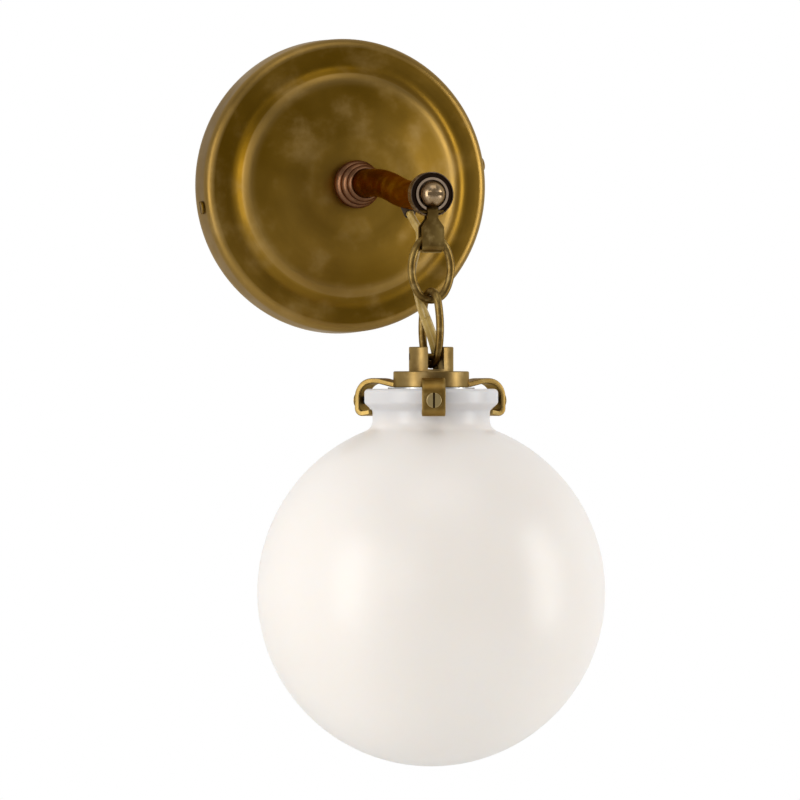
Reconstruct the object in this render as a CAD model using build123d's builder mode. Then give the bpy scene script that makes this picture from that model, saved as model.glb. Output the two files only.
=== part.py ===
from build123d import *
from math import atan2, cos, degrees, hypot, pi, radians, sin, sqrt, tan
import os

# Hanging pendant wall sconce: a round back plate, a short jogged arm, three chain links
# and an opal glass globe held by three clips.
#
# Frame, in millimetres: X runs to the right along the wall, Y into the wall and Z up.
# The origin is the centre of the back plate's rear rim, on the wall's surface.

# ---------------------------------------------------------------- driving dimensions
# Back plate: a spun pan, open at the back
PLATE_RADIUS = 67.5         # rear rim
PLATE_WALL = 1.2
EDGE_DEPTH = 17.6           # front edge of the pan, from the wall
EDGE_TAPER = 0.5            # the side wall leans in by this much
FLANGE_DIP = 1.8            # the flange's cove, behind the front edge
SHOULDER_RADIUS = 51.0      # step up to the raised middle
SHOULDER_DEPTH = 21.5
FLANGE_SHARES = (0.14, 0.6, 0.24)       # of its width: cove, bend, front corner's radius
CROWN_DEPTH = 27.5          # the middle's flat seat under the collar
PLATE_TURN = 9.0            # the pan is turned by this angle on the wall

# Wall bar inside the pan
BAR_WIDTH = 20.0
BAR_THICK = 2.0
TAB_DEPTH = 14.0            # front of the bent tabs
BOX_SPACINGS = (70.0, 89.0) # distances between the wall box screws
BOX_HOLE_RADIUS = 2.4
GROUND_AT = 20.0            # ground screw, left of the middle
GROUND_RADIUS = 2.0
SIDE_SCREW_DEPTH = 9.0      # side screws, from the wall
SIDE_SCREW_RADIUS = 2.0
SIDE_HEAD_RADIUS = 3.0
SIDE_HEAD_HEIGHT = 1.0
SIDE_HEAD_ROUND = 0.4
SIDE_SLOT = (0.9, 0.6)      # driver slot's width and depth
SIDE_SCREW_SPARE = 2.5      # shank beyond the bar's tab

# Threaded tube through the pan, its nut and washer
NIPPLE_RADIUS = 4.9
NIPPLE_BORE = 2.9
NIPPLE_BEHIND = 8.0         # length behind the nut
NUT_RADIUS = 8.4            # across the corners, halved
NUT_THICK = 4.0
NIPPLE_GRIP = 11.0          # length in the collar
WASHER_RADIUS = 8.5
WASHER_THICK = 1.2

# Collar of three beads, widest first
BEAD_RADII = (10.9, 9.6, 8.3)
BEAD_LENGTHS = (6.4, 5.4, 4.6)
COLLAR_FOOT = 2.0           # plain foot behind the first bead

# Arm
TUBE_RADIUS = 6.35
TUBE_WALL = 1.2
ARM_DROP = 7.9              # the tip is this much lower than the collar
JOG_START = 66.0            # where the double bend starts and ends, from the wall
JOG_END = 112.0
HANG = 144.0                # line of the chain, from the wall

# Fitting at the arm's tip
RING_RADIUS = 9.8
RING_BORE = 6.3
RING_HALF = 1.9             # half its length along the arm
BOSS_RADIUS = 4.4
WEB_THICK = 1.2
GROOVE_DEPTH = 1.2          # dark groove between the inner lip and the rim
GROOVE_SLOPE = 0.2
LIP_WIDTH = 1.1
RIM_STEP = 0.3              # the rim stands this much behind the lip
END_SCREW_RADIUS = 5.5
END_SCREW_HEIGHT = 4.4
END_SCREW_SHANK = 2.4
END_SCREW_SLOT = (1.5, 1.2)    # driver slot's width and depth
PIN_RADIUS = 1.1
PIN_DROP = 7.7              # pin below the arm's line

# Strap link
STRAP_WIDTH = 10.0
STRAP_NECK = 4.8
STRAP_THICK = 1.4
STRAP_LENGTH = 14.5         # between the centres of its two bends
STRAP_SHOULDER = 3.0        # neck below the pin
STRAP_FLARE = 3.6           # height over which the neck widens

# Wire links, measured at the wire's centre
WIRE_RADIUS = 1.75
LINK_HALF_WIDTH = 9.0
LINK_END = 7.4              # radius of the end bends
OVAL_HALF_HEIGHT = 13.57
LOWER_HALF_HEIGHT = 16.0
LOWER_TURN = 8.0            # each hanging piece is turned a little on the chain
CUP_TURN = -4.0
CLIP_TURN = -15.6

# Chain cup and holder
CUP_RADIUS = 9.75
CUP_HEIGHT = 10.7
CUP_FLOOR = 0.9
CUP_SLOT = 7.2
CROSS_PIN_RADIUS = 1.5
STUD_RADIUS = 3.9
DISC_RADIUS = 16.6
DISC_THICK = 7.1

# Clips and their screws
CLIP_COUNT = 3
CLIP_WIDTH = 10.2
CLIP_THICK = 2.5
CLIP_REACH = 35.6           # outer face of the legs
CLIP_BEND = 6.4
CLIP_LEG = 12.4             # from the disc's underside to the foot's lowest point
CLIP_FOOT = 7.8             # foot, from the leg's outer face inwards
CLIP_FOOT_BEND = 3.4
CLIP_SEAT = 8.4             # inner end of the clip in the disc's groove
CLIP_SCREW_RADIUS = 1.7
CLIP_SCREW_DROP = 5.0       # from the rim's top
CLIP_HEAD_RADIUS = 3.3
CLIP_HEAD_HEIGHT = 1.6
CLIP_HEAD_ROUND = 0.35
CLIP_SLOT = (0.9, 0.8)      # driver slot's width and depth

# Glass globe
GLOBE_RADIUS = 76.2
GLASS_WALL = 3.0
RIM_GAP = 0.6               # rim below the disc's underside
RIM_RADIUS = 29.3
RIM_HEIGHT = 6.3
RIM_SLOPE = 3.2             # height of the slope from under the rim to the neck
RIM_ROUNDS = (1.8, 2.0, 2.0)    # at the rim's top, under it and where its slope meets the neck
NECK_RADIUS = 25.7
NECK_HEIGHT = 17.265        # from the rim's top to where the neck meets the sphere

# Lampholder and lamp
RING_NUT_RADIUS = 4.7
RING_NUT_THICK = 3.6
CLAMP_RADIUS = 19.0
CLAMP_THICK = 1.0
CAP_RADIUS = 17.2
CAP_HEIGHT = 9.0
CAP_WALL = 1.0
CAP_HUB = 3.0               # length of the hub inside the cap
BODY_HEIGHT = 32.0
SHELL_WALL = 0.5
SHELL_HEIGHT = 24.0
LAMP_CAP_RADIUS = 13.1
LAMP_CAP_HEIGHT = 22.0
LAMP_RADIUS = 17.5
LAMP_LENGTH = 74.0
STEM_FOOT = 6.0
STEM_LENGTH = 8.0
STEM_NECK = (3.0, 2.0)      # radius below the foot and at the top
FILAMENT_SPAN = 9.0         # between its two supports
SUPPORT_LENGTH = 10.0

# Cord
CORD_RADIUS = 1.8
LEAD_RADIUS = 0.85
EXIT_AT = 111.0             # the cord leaves the arm here, from the wall
EXIT_TILT = 35.0            # below the horizontal
BUSH_RADIUS = 2.7
BUSH_OUT = 2.4              # bush beyond the tube's underside
BUSH_IN = 5.8
BUSH_TO_BEND = 6.0          # straight length of free cord below the bush
LEAD_AWAY = (4.6, 4.7)      # cord's bore in the cup, right and behind the hanging line
LEAD_TOP = -91.8            # where the free cord ends in the disc
CONNECTOR_RADIUS = 4.6
CONNECTOR_LENGTH = 17.0
CONNECTOR_MOUTH = (10.0, -9.5, 27.0)

# Clearances
FIT_GAP = 0.03              # a tube, pin or screw in its seat
RUN_GAP = 0.2               # a pin in its eye
LINK_GAP = 0.15             # one link in the next
WIRE_GAP = 0.25             # beside a wire
HOLE_GAP = 0.15             # a screw or tube through a plain hole
SOFT_GAP = 0.3              # curved faces of two bodies
CORD_GAP = 0.65             # cord in a bore

os.makedirs("parts", exist_ok=True)


# ---------------------------------------------------------------- helpers
def finish(piece, name):
    """Label a piece and write it."""
    piece.part.label = name
    export_step(piece.part, f"parts/{name}.step")


def turned(angle):
    """Upright plane through the hanging line whose local x axis points at angle from -Y."""
    reach = Vector(sin(radians(angle)), -cos(radians(angle)), 0)
    side = Vector(reach.Y, -reach.X, 0)
    return Plane(origin=(0, -HANG, 0), x_dir=reach, z_dir=side)


def hang_level(z, angle=0.0):
    """Level plane on the hanging line; at angle 0 its local x is +X and its local y is +Y."""
    return Plane(origin=(0, -HANG, z), x_dir=(cos(radians(angle)), sin(radians(angle)), 0), z_dir=(0, 0, 1))


def wall_plane(depth):
    """Plane facing the room at a depth from the wall, turned as the pan is; local y is up."""
    across = (cos(radians(PLATE_TURN)), 0, sin(radians(PLATE_TURN)))
    return Plane(origin=(0, -depth, 0), x_dir=across, z_dir=(0, -1, 0))


HANG_AXIS = Axis((0, -HANG, 0), (0, 0, 1))
front_view = Plane.XZ.offset(HANG)          # local x is +X, local y is +Z, normal faces the room


# ---------------------------------------------------------------- back plate
seat_radius = BEAD_RADII[0] + 3.0
flange_width = PLATE_RADIUS - EDGE_TAPER - SHOULDER_RADIUS


def pan_line(inset):
    """Points of the pan's section as (radius, -depth), the outer face moved in by inset."""
    cove, bend = (SHOULDER_RADIUS + share * flange_width for share in FLANGE_SHARES[:2])
    return [
        (PLATE_RADIUS - inset, 0),
        (PLATE_RADIUS - EDGE_TAPER - inset, -(EDGE_DEPTH - inset)),
        (bend, -(EDGE_DEPTH - 0.3 * FLANGE_DIP - inset)),
        (cove - inset, -(EDGE_DEPTH - FLANGE_DIP - inset)),
        (SHOULDER_RADIUS - 1.2 - inset, -(SHOULDER_DEPTH - inset)),
        (SHOULDER_RADIUS * 0.6, -(SHOULDER_DEPTH + 0.7 * (CROWN_DEPTH - SHOULDER_DEPTH) - inset)),
        (seat_radius, -(CROWN_DEPTH - inset)),
    ]


def draw_pan(inset, inner_radius):
    """Draw the closed half section of the pan's outer or inner face."""
    points = pan_line(inset)
    corner = FLANGE_SHARES[2] * flange_width - inset
    crest = 2.0 + PLATE_WALL - inset
    FilletPolyline(*points, radius=[corner, flange_width, 2.2, crest, 60])
    Polyline(points[-1], (inner_radius, points[-1][1]), (inner_radius, 0), points[0])


nipple_hole = NIPPLE_RADIUS + HOLE_GAP
side_hole = SIDE_SCREW_RADIUS + HOLE_GAP

with BuildPart() as backplate:
    with BuildSketch(Plane.XY) as pan_outer:
        with BuildLine():
            draw_pan(0, nipple_hole)
        make_face()
    revolve(axis=Axis.Y)
    with BuildSketch(Plane.XY) as pan_inner:
        with BuildLine():
            draw_pan(PLATE_WALL, nipple_hole / 2)
        make_face()
    revolve(axis=Axis.Y, mode=Mode.SUBTRACT)
    for side in (-1, 1):
        across = wall_plane(SIDE_SCREW_DEPTH)
        start = across.from_local_coords((side * PLATE_RADIUS * 0.8, 0, 0))
        outward = across.x_dir * side
        with BuildSketch(Plane(origin=start, z_dir=outward)):
            Circle(side_hole)
        extrude(amount=PLATE_RADIUS * 0.4, mode=Mode.SUBTRACT)
finish(backplate, "backplate")

# ---------------------------------------------------------------- wall bar
lean = EDGE_TAPER * TAB_DEPTH / EDGE_DEPTH
tab_face = sqrt((PLATE_RADIUS - PLATE_WALL - lean - SOFT_GAP) ** 2 - (BAR_WIDTH / 2) ** 2)

with BuildPart() as wall_bar:
    with BuildSketch(wall_plane(0)):
        Rectangle(2 * tab_face, BAR_WIDTH)
    extrude(amount=BAR_THICK)
    with BuildSketch(wall_plane(BAR_THICK)):
        with Locations((tab_face - BAR_THICK / 2, 0), (BAR_THICK / 2 - tab_face, 0)):
            Rectangle(BAR_THICK, BAR_WIDTH)
    extrude(amount=TAB_DEPTH - BAR_THICK)
    with BuildSketch(wall_plane(0)):
        for spacing in BOX_SPACINGS:
            with Locations((spacing / 2, 0), (-spacing / 2, 0)):
                Circle(BOX_HOLE_RADIUS)
        with Locations((-GROUND_AT, 0)):
            Circle(GROUND_RADIUS + FIT_GAP)
    extrude(amount=BAR_THICK, mode=Mode.SUBTRACT)
    for side in (-1, 1):
        across = wall_plane(SIDE_SCREW_DEPTH)
        start = across.from_local_coords((side * tab_face * 0.8, 0, 0))
        with BuildSketch(Plane(origin=start, z_dir=across.x_dir * side)):
            Circle(SIDE_SCREW_RADIUS + FIT_GAP)
        extrude(amount=tab_face * 0.4, mode=Mode.SUBTRACT)
finish(wall_bar, "wall_bar")

with BuildPart() as ground_screw:
    with BuildSketch(wall_plane(0)):
        with Locations((-GROUND_AT, 0)):
            Circle(GROUND_RADIUS)
    extrude(amount=BAR_THICK)
    with BuildSketch(wall_plane(BAR_THICK)):
        with Locations((-GROUND_AT, 0)):
            RegularPolygon(SIDE_HEAD_RADIUS, 6)
    extrude(amount=SIDE_HEAD_HEIGHT)
    with BuildSketch(wall_plane(BAR_THICK + SIDE_HEAD_HEIGHT)):
        with Locations((-GROUND_AT, 0)):
            Rectangle(2 * SIDE_HEAD_RADIUS, SIDE_SLOT[0])
    extrude(amount=-SIDE_SLOT[1], mode=Mode.SUBTRACT)
finish(ground_screw, "ground_screw")


def side_screw(side):
    """Screw through the pan's side wall into the tab of the wall bar."""
    across = wall_plane(SIDE_SCREW_DEPTH)
    outward = across.x_dir * side
    head_back = SIDE_SCREW_DEPTH - SIDE_HEAD_RADIUS
    wall_radius = PLATE_RADIUS - EDGE_TAPER * head_back / EDGE_DEPTH + FIT_GAP
    seat = Plane(origin=across.from_local_coords((side * wall_radius, 0, 0)), z_dir=outward)
    with BuildPart() as screw:
        with BuildSketch(seat):
            Circle(SIDE_HEAD_RADIUS)
        extrude(amount=SIDE_HEAD_HEIGHT)
        fillet(screw.faces().sort_by(Axis(seat.origin, seat.z_dir))[-1].edges(), SIDE_HEAD_ROUND)
        with BuildSketch(seat.offset(SIDE_HEAD_HEIGHT)):
            Rectangle(2 * SIDE_HEAD_RADIUS, SIDE_SLOT[0])
        extrude(amount=-SIDE_SLOT[1], mode=Mode.SUBTRACT)
        with BuildSketch(seat):
            Circle(SIDE_SCREW_RADIUS)
        extrude(amount=-(wall_radius - tab_face + BAR_THICK + SIDE_SCREW_SPARE))
    return screw


for label, side in (("side_screw_left", -1), ("side_screw_right", 1)):
    finish(side_screw(side), label)

# ---------------------------------------------------------------- nipple, nut and washer
pan_back = CROWN_DEPTH - PLATE_WALL
nut_front = pan_back - WASHER_THICK
nut_back = nut_front - NUT_THICK
nipple_back = nut_back - NIPPLE_BEHIND
nipple_front = CROWN_DEPTH + NIPPLE_GRIP

with BuildPart() as nipple:
    with BuildSketch(wall_plane(nipple_back)):
        Circle(NIPPLE_RADIUS)
        Circle(NIPPLE_BORE, mode=Mode.SUBTRACT)
    extrude(amount=nipple_front - nipple_back)
finish(nipple, "nipple")

with BuildPart() as lock_washer:
    with BuildSketch(wall_plane(nut_front)):
        Circle(WASHER_RADIUS)
        Circle(NIPPLE_RADIUS + FIT_GAP, mode=Mode.SUBTRACT)
    extrude(amount=WASHER_THICK)
finish(lock_washer, "lock_washer")

with BuildPart() as lock_nut:
    with BuildSketch(wall_plane(nut_back)):
        RegularPolygon(NUT_RADIUS, 6)
        Circle(NIPPLE_RADIUS + FIT_GAP, mode=Mode.SUBTRACT)
    extrude(amount=NUT_THICK)
finish(lock_nut, "lock_nut")

# ---------------------------------------------------------------- collar
collar_front = CROWN_DEPTH + COLLAR_FOOT + sum(BEAD_LENGTHS)
tube_start = nipple_front + 0.5
foot_radius = BEAD_RADII[0] - 1.6

with BuildPart() as arm_collar:
    with BuildSketch(Plane.XY):
        with BuildLine():
            depth = CROWN_DEPTH + COLLAR_FOOT
            Polyline((0, -CROWN_DEPTH), (foot_radius, -CROWN_DEPTH), (foot_radius, -depth))
            low = foot_radius
            for bead_radius, length, following in zip(BEAD_RADII, BEAD_LENGTHS, BEAD_RADII[1:] + (0,)):
                valley = following - 0.9 if following else TUBE_RADIUS + 0.6
                ThreePointArc((low, -depth), (bead_radius, -depth - length / 2), (valley, -depth - length))
                depth += length
                low = valley
            Polyline((low, -depth), (0, -depth), (0, -CROWN_DEPTH))
        make_face()
    revolve(axis=Axis.Y)
    with BuildSketch(Plane.XZ.offset(CROWN_DEPTH)):
        Circle(NIPPLE_RADIUS + FIT_GAP)
    extrude(amount=NIPPLE_GRIP, mode=Mode.SUBTRACT)
    with BuildSketch(Plane.XZ.offset(CROWN_DEPTH)):
        Circle(NIPPLE_BORE)
    extrude(amount=collar_front - CROWN_DEPTH, mode=Mode.SUBTRACT)
    with BuildSketch(Plane.XZ.offset(tube_start)):
        Circle(TUBE_RADIUS + FIT_GAP)
    extrude(amount=collar_front - tube_start, mode=Mode.SUBTRACT)
finish(arm_collar, "arm_collar")

# ---------------------------------------------------------------- arm tube
jog = JOG_END - JOG_START
jog_angle = 2 * atan2(ARM_DROP, jog)
jog_radius = 0.97 * jog / (2 * sin(jog_angle))
jog_tangent = jog / (2 * sin(jog_angle)) * tan(jog_angle / 2)
tube_end = HANG - RING_HALF - WEB_THICK
tube_bore = TUBE_RADIUS - TUBE_WALL
first_bend = (0, -JOG_START - jog_tangent, 0)
second_bend = (0, -JOG_END + jog_tangent, -ARM_DROP)
exit_down = Vector(0, -cos(radians(EXIT_TILT)), -sin(radians(EXIT_TILT)))
underside = Vector(0, -EXIT_AT, -ARM_DROP - TUBE_RADIUS)
bush_end = underside + exit_down * BUSH_OUT
bush_start = underside - exit_down * BUSH_IN

with BuildPart() as arm_tube:
    with BuildLine():
        FilletPolyline((0, -tube_start, 0), first_bend, second_bend, (0, -tube_end, -ARM_DROP),
                       radius=[jog_radius, jog_radius])
    with BuildSketch(Plane.XZ.offset(tube_start)):
        Circle(TUBE_RADIUS)
        Circle(tube_bore, mode=Mode.SUBTRACT)
    sweep()
    with BuildSketch(Plane(origin=bush_start, z_dir=exit_down)):
        Circle(BUSH_RADIUS + FIT_GAP)
    extrude(amount=BUSH_IN + BUSH_OUT, mode=Mode.SUBTRACT)
finish(arm_tube, "arm_tube")

with BuildPart() as cord_bush:
    with BuildSketch(Plane(origin=bush_start, z_dir=exit_down)):
        Circle(BUSH_RADIUS)
        Circle(CORD_RADIUS + FIT_GAP, mode=Mode.SUBTRACT)
    extrude(amount=BUSH_IN + BUSH_OUT)
    fillet(cord_bush.faces().sort_by(Axis(bush_start, exit_down))[-1].outer_wire().edges(), 0.5)
finish(cord_bush, "cord_bush")

# ---------------------------------------------------------------- fitting at the arm's tip
pin_eye = PIN_RADIUS + RUN_GAP
eye_radius = pin_eye + STRAP_THICK
pin_level = -ARM_DROP - PIN_DROP
boss_front = HANG + eye_radius + SOFT_GAP
window = STRAP_NECK + 2 * 0.4
window_top = PIN_DROP - eye_radius - WIRE_GAP
pin_half = window / 2 + 2.6
TIP_AXIS = Axis((0, 0, -ARM_DROP), (0, 1, 0))
tip_section = Plane.XY.offset(-ARM_DROP)
ring_front = HANG + RING_HALF
rim_front = ring_front - RIM_STEP
groove_floor = ring_front - GROOVE_DEPTH
groove_inner = RING_BORE + LIP_WIDTH + GROOVE_SLOPE
groove_outer = RING_RADIUS - 3 * GROOVE_SLOPE
ring_back = HANG - RING_HALF

with BuildPart() as arm_end_ring:
    with BuildSketch(tip_section):
        with BuildLine():
            Polyline((0, -boss_front), (BOSS_RADIUS, -boss_front), (BOSS_RADIUS, -ring_back),
                     (RING_BORE, -ring_back), (RING_BORE, -ring_front),
                     (RING_BORE + LIP_WIDTH, -ring_front), (groove_inner, -groove_floor),
                     (groove_outer, -groove_floor), (groove_outer + GROOVE_SLOPE, -rim_front),
                     (RING_RADIUS, -rim_front),
                     (RING_RADIUS, -tube_end), (tube_bore - FIT_GAP, -tube_end),
                     (tube_bore - FIT_GAP, 5 - tube_end), (0, 5 - tube_end), close=True)
        make_face()
    revolve(axis=TIP_AXIS)
    with BuildSketch(Plane(origin=(0, -boss_front, -ARM_DROP), z_dir=(0, 1, 0))):
        Circle(END_SCREW_SHANK + FIT_GAP)
    extrude(amount=boss_front - tube_end + 2, mode=Mode.SUBTRACT)
    with BuildSketch(Plane.XZ.offset(tube_end)):
        with Locations((0, -ARM_DROP - window_top)):
            Rectangle(window, RING_RADIUS, align=(Align.CENTER, Align.MAX))
    extrude(amount=ring_front - tube_end, mode=Mode.SUBTRACT)
    with BuildSketch(Plane.YZ):
        with Locations((-HANG, pin_level)):
            Circle(PIN_RADIUS + 0.01)
    extrude(amount=pin_half, both=True, mode=Mode.SUBTRACT)
finish(arm_end_ring, "arm_end_ring")

with BuildPart() as hanger_pin:
    with BuildSketch(Plane.YZ):
        with Locations((-HANG, pin_level)):
            Circle(PIN_RADIUS)
    extrude(amount=pin_half, both=True)
finish(hanger_pin, "hanger_pin")

dome = (END_SCREW_RADIUS ** 2 + END_SCREW_HEIGHT ** 2) / (2 * END_SCREW_HEIGHT)
with BuildPart() as end_screw:
    with BuildSketch(tip_section):
        with BuildLine():
            top = (0, -boss_front - END_SCREW_HEIGHT)
            rim = (END_SCREW_RADIUS, -boss_front)
            Line((0, -boss_front), rim)
            RadiusArc(rim, top, dome)
            Line(top, (0, -boss_front))
        make_face()
    revolve(axis=TIP_AXIS)
    with BuildSketch(Plane(origin=(0, -boss_front - END_SCREW_HEIGHT, -ARM_DROP), z_dir=(0, 1, 0))):
        Rectangle(END_SCREW_SLOT[0], 2 * END_SCREW_RADIUS)
    extrude(amount=END_SCREW_SLOT[1], mode=Mode.SUBTRACT)
    with BuildSketch(Plane(origin=(0, -boss_front, -ARM_DROP), z_dir=(0, 1, 0))):
        Circle(END_SCREW_SHANK)
    extrude(amount=boss_front - tube_end + 1)
finish(end_screw, "end_screw")

# ---------------------------------------------------------------- strap link
seat_gap = WIRE_RADIUS + WIRE_GAP
seat_radius_outer = seat_gap + STRAP_THICK
strap_low = pin_level - STRAP_LENGTH
half_strap = STRAP_WIDTH / 2

with BuildPart() as strap_link:
    with BuildSketch(Plane.YZ):
        with Locations((-HANG, pin_level)):
            Circle(eye_radius)
        with Locations((-HANG, strap_low)):
            Circle(seat_radius_outer)
        make_hull()
    extrude(amount=half_strap, both=True)
    with BuildSketch(Plane.YZ):
        with Locations((-HANG, pin_level)):
            Circle(pin_eye)
        with Locations((-HANG, strap_low)):
            Circle(seat_gap)
        make_hull()
    extrude(amount=half_strap, both=True, mode=Mode.SUBTRACT)
    with BuildSketch(front_view):
        neck = STRAP_NECK / 2
        shoulder = pin_level - STRAP_SHOULDER
        bottom = strap_low - seat_radius_outer
        with BuildLine():
            right = Polyline((0, pin_level + eye_radius), (neck - 0.8, pin_level + eye_radius),
                             (neck, pin_level + eye_radius - 0.8), (neck, shoulder),
                             (half_strap, shoulder - STRAP_FLARE), (half_strap, bottom + 1.0),
                             (half_strap - 0.8, bottom), (0, bottom))
            mirror(right, about=Plane.YZ)
        make_face()
    extrude(amount=2 * seat_radius_outer, both=True, mode=Mode.INTERSECT)
finish(strap_link, "strap_link")


# ---------------------------------------------------------------- wire links
def wire_link(plane, half_height):
    """Closed oval link of round wire: a small bend at each end and a wide one at each side.

    The plane's origin is the link's middle.
    """
    end_centre = half_height - LINK_END
    side = (end_centre ** 2 + LINK_HALF_WIDTH ** 2 - LINK_END ** 2) / (2 * (LINK_HALF_WIDTH - LINK_END))
    side_centre = side - LINK_HALF_WIDTH
    rise = degrees(atan2(end_centre, side_centre))  # where a side bend meets an end bend
    with BuildPart() as link:
        with BuildLine(plane):
            CenterArc((-side_centre, 0), side, 0, rise)
            CenterArc((0, end_centre), LINK_END, rise, 180 - 2 * rise)
            CenterArc((side_centre, 0), side, 180 - rise, 2 * rise)
            CenterArc((0, -end_centre), LINK_END, 180 + rise, 180 - 2 * rise)
            CenterArc((-side_centre, 0), side, -rise, rise)
        start = plane.from_local_coords((LINK_HALF_WIDTH, 0, 0))
        with BuildSketch(Plane(origin=start, z_dir=plane.y_dir)):
            Circle(WIRE_RADIUS)
        sweep()
    return link


# The oval link's wire bends over the strap's flat seat and clears the strap's side edges
inner_end = LINK_END - WIRE_RADIUS - LINK_GAP
oval_upper = strap_low - seat_gap - sqrt(inner_end ** 2 - half_strap ** 2)
oval_bottom = oval_upper + LINK_END - 2 * OVAL_HALF_HEIGHT
lower_top = oval_bottom + 2 * WIRE_RADIUS + LINK_GAP
lower_bottom = lower_top - 2 * LOWER_HALF_HEIGHT

oval_plane = Plane(origin=(0, -HANG, oval_bottom + OVAL_HALF_HEIGHT), x_dir=(1, 0, 0), z_dir=(0, -1, 0))
finish(wire_link(oval_plane, OVAL_HALF_HEIGHT), "oval_link")

lower_frame = turned(LOWER_TURN)
lower_plane = Plane(origin=(0, -HANG, lower_bottom + LOWER_HALF_HEIGHT), x_dir=lower_frame.x_dir,
                    z_dir=lower_frame.z_dir)
finish(wire_link(lower_plane, LOWER_HALF_HEIGHT), "lower_link")

# ---------------------------------------------------------------- chain cup
cup_seat = lower_bottom - WIRE_RADIUS - SOFT_GAP
cup_base = cup_seat - CUP_FLOOR
cup_top = cup_base + CUP_HEIGHT
disc_base = cup_base - DISC_THICK
clamp_base = disc_base - CLAMP_THICK
nut_base = clamp_base - RING_NUT_THICK
body_top = nut_base - CAP_WALL
cross_pin_level = lower_bottom + WIRE_RADIUS + LINK_GAP + CROSS_PIN_RADIUS
cord_bore = CORD_RADIUS + CORD_GAP

with BuildPart() as chain_cup:
    with BuildSketch(hang_level(cup_base, CUP_TURN)):
        Circle(CUP_RADIUS)
    extrude(amount=CUP_HEIGHT)
    fillet(chain_cup.faces().sort_by(Axis.Z)[-1].edges(), 0.5)
    with BuildSketch(hang_level(cup_seat, CUP_TURN)):
        Rectangle(CUP_SLOT, 3 * CUP_RADIUS)
    extrude(amount=CUP_HEIGHT, mode=Mode.SUBTRACT)
    with BuildSketch(hang_level(cup_base)):
        Circle(STUD_RADIUS)
    extrude(amount=body_top - CAP_HUB - cup_base)
    with BuildSketch(hang_level(cup_base)):
        with Locations(LEAD_AWAY):
            Circle(cord_bore)
    extrude(amount=CUP_HEIGHT, mode=Mode.SUBTRACT)
    with BuildSketch(Plane(origin=(0, -HANG, cross_pin_level), z_dir=hang_level(0, CUP_TURN).x_dir)):
        Circle(CROSS_PIN_RADIUS + 0.01)
    extrude(amount=CUP_RADIUS + 1, both=True, mode=Mode.SUBTRACT)
finish(chain_cup, "chain_cup")

with BuildPart() as cross_pin:
    with BuildSketch(Plane(origin=(0, -HANG, cross_pin_level), z_dir=hang_level(0, CUP_TURN).x_dir)):
        Circle(CROSS_PIN_RADIUS)
    extrude(amount=CUP_RADIUS - 0.3, both=True)
finish(cross_pin, "cross_pin")

# ---------------------------------------------------------------- holder disc and clamp
clip_angles = [CLIP_TURN + 360 / CLIP_COUNT * number for number in range(CLIP_COUNT)]

with BuildPart() as holder_disc:
    with BuildSketch(hang_level(disc_base)):
        Circle(DISC_RADIUS)
    extrude(amount=DISC_THICK)
    chamfer(holder_disc.edges().filter_by(GeomType.CIRCLE), 0.4)
    with BuildSketch(hang_level(disc_base)):
        Circle(STUD_RADIUS + FIT_GAP)
        with Locations(LEAD_AWAY):
            Circle(cord_bore)
    extrude(amount=DISC_THICK, mode=Mode.SUBTRACT)
    for angle in clip_angles:
        with BuildSketch(hang_level(disc_base, angle)):
            with Locations((0, -CLIP_SEAT)):
                Rectangle(CLIP_WIDTH + 2 * FIT_GAP, DISC_RADIUS, align=(Align.CENTER, Align.MAX))
        extrude(amount=CLIP_THICK + FIT_GAP, mode=Mode.SUBTRACT)
finish(holder_disc, "holder_disc")

with BuildPart() as clamp_washer:
    with BuildSketch(hang_level(clamp_base)):
        Circle(CLAMP_RADIUS)
        Circle(STUD_RADIUS + FIT_GAP, mode=Mode.SUBTRACT)
        with Locations(LEAD_AWAY):
            Circle(CORD_RADIUS + RUN_GAP, mode=Mode.SUBTRACT)
    extrude(amount=CLAMP_THICK)
finish(clamp_washer, "clamp_washer")

with BuildPart() as ring_nut:
    with BuildSketch(hang_level(nut_base)):
        Circle(RING_NUT_RADIUS)
        Circle(STUD_RADIUS + FIT_GAP, mode=Mode.SUBTRACT)
    extrude(amount=RING_NUT_THICK)
finish(ring_nut, "ring_nut")

# ---------------------------------------------------------------- clips and clip screws
rim_top = disc_base - RIM_GAP
screw_level = rim_top - CLIP_SCREW_DROP
leg_middle = CLIP_REACH - CLIP_THICK / 2
arm_level = disc_base + CLIP_THICK / 2
foot_level = disc_base - CLIP_LEG + CLIP_THICK / 2


def clip(angle):
    """Flat strap out of the disc's groove, bent down and curled in at its foot."""
    side = turned(angle)
    with BuildPart() as strap:
        with BuildLine(side):
            FilletPolyline((CLIP_SEAT, arm_level), (leg_middle, arm_level), (leg_middle, foot_level),
                           (CLIP_REACH - CLIP_FOOT, foot_level + 0.8),
                           radius=[CLIP_BEND - CLIP_THICK / 2, CLIP_FOOT_BEND - CLIP_THICK / 2])
        start = side.from_local_coords((CLIP_SEAT, arm_level, 0))
        with BuildSketch(Plane(origin=start, x_dir=(0, 0, 1), z_dir=side.x_dir)):
            Rectangle(CLIP_THICK, CLIP_WIDTH)
        sweep()
        hole = side.from_local_coords((leg_middle, screw_level, 0))
        with BuildSketch(Plane(origin=hole, z_dir=side.x_dir)):
            Circle(CLIP_SCREW_RADIUS + 2 * FIT_GAP)
        extrude(amount=CLIP_THICK, both=True, mode=Mode.SUBTRACT)
    return strap


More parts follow.
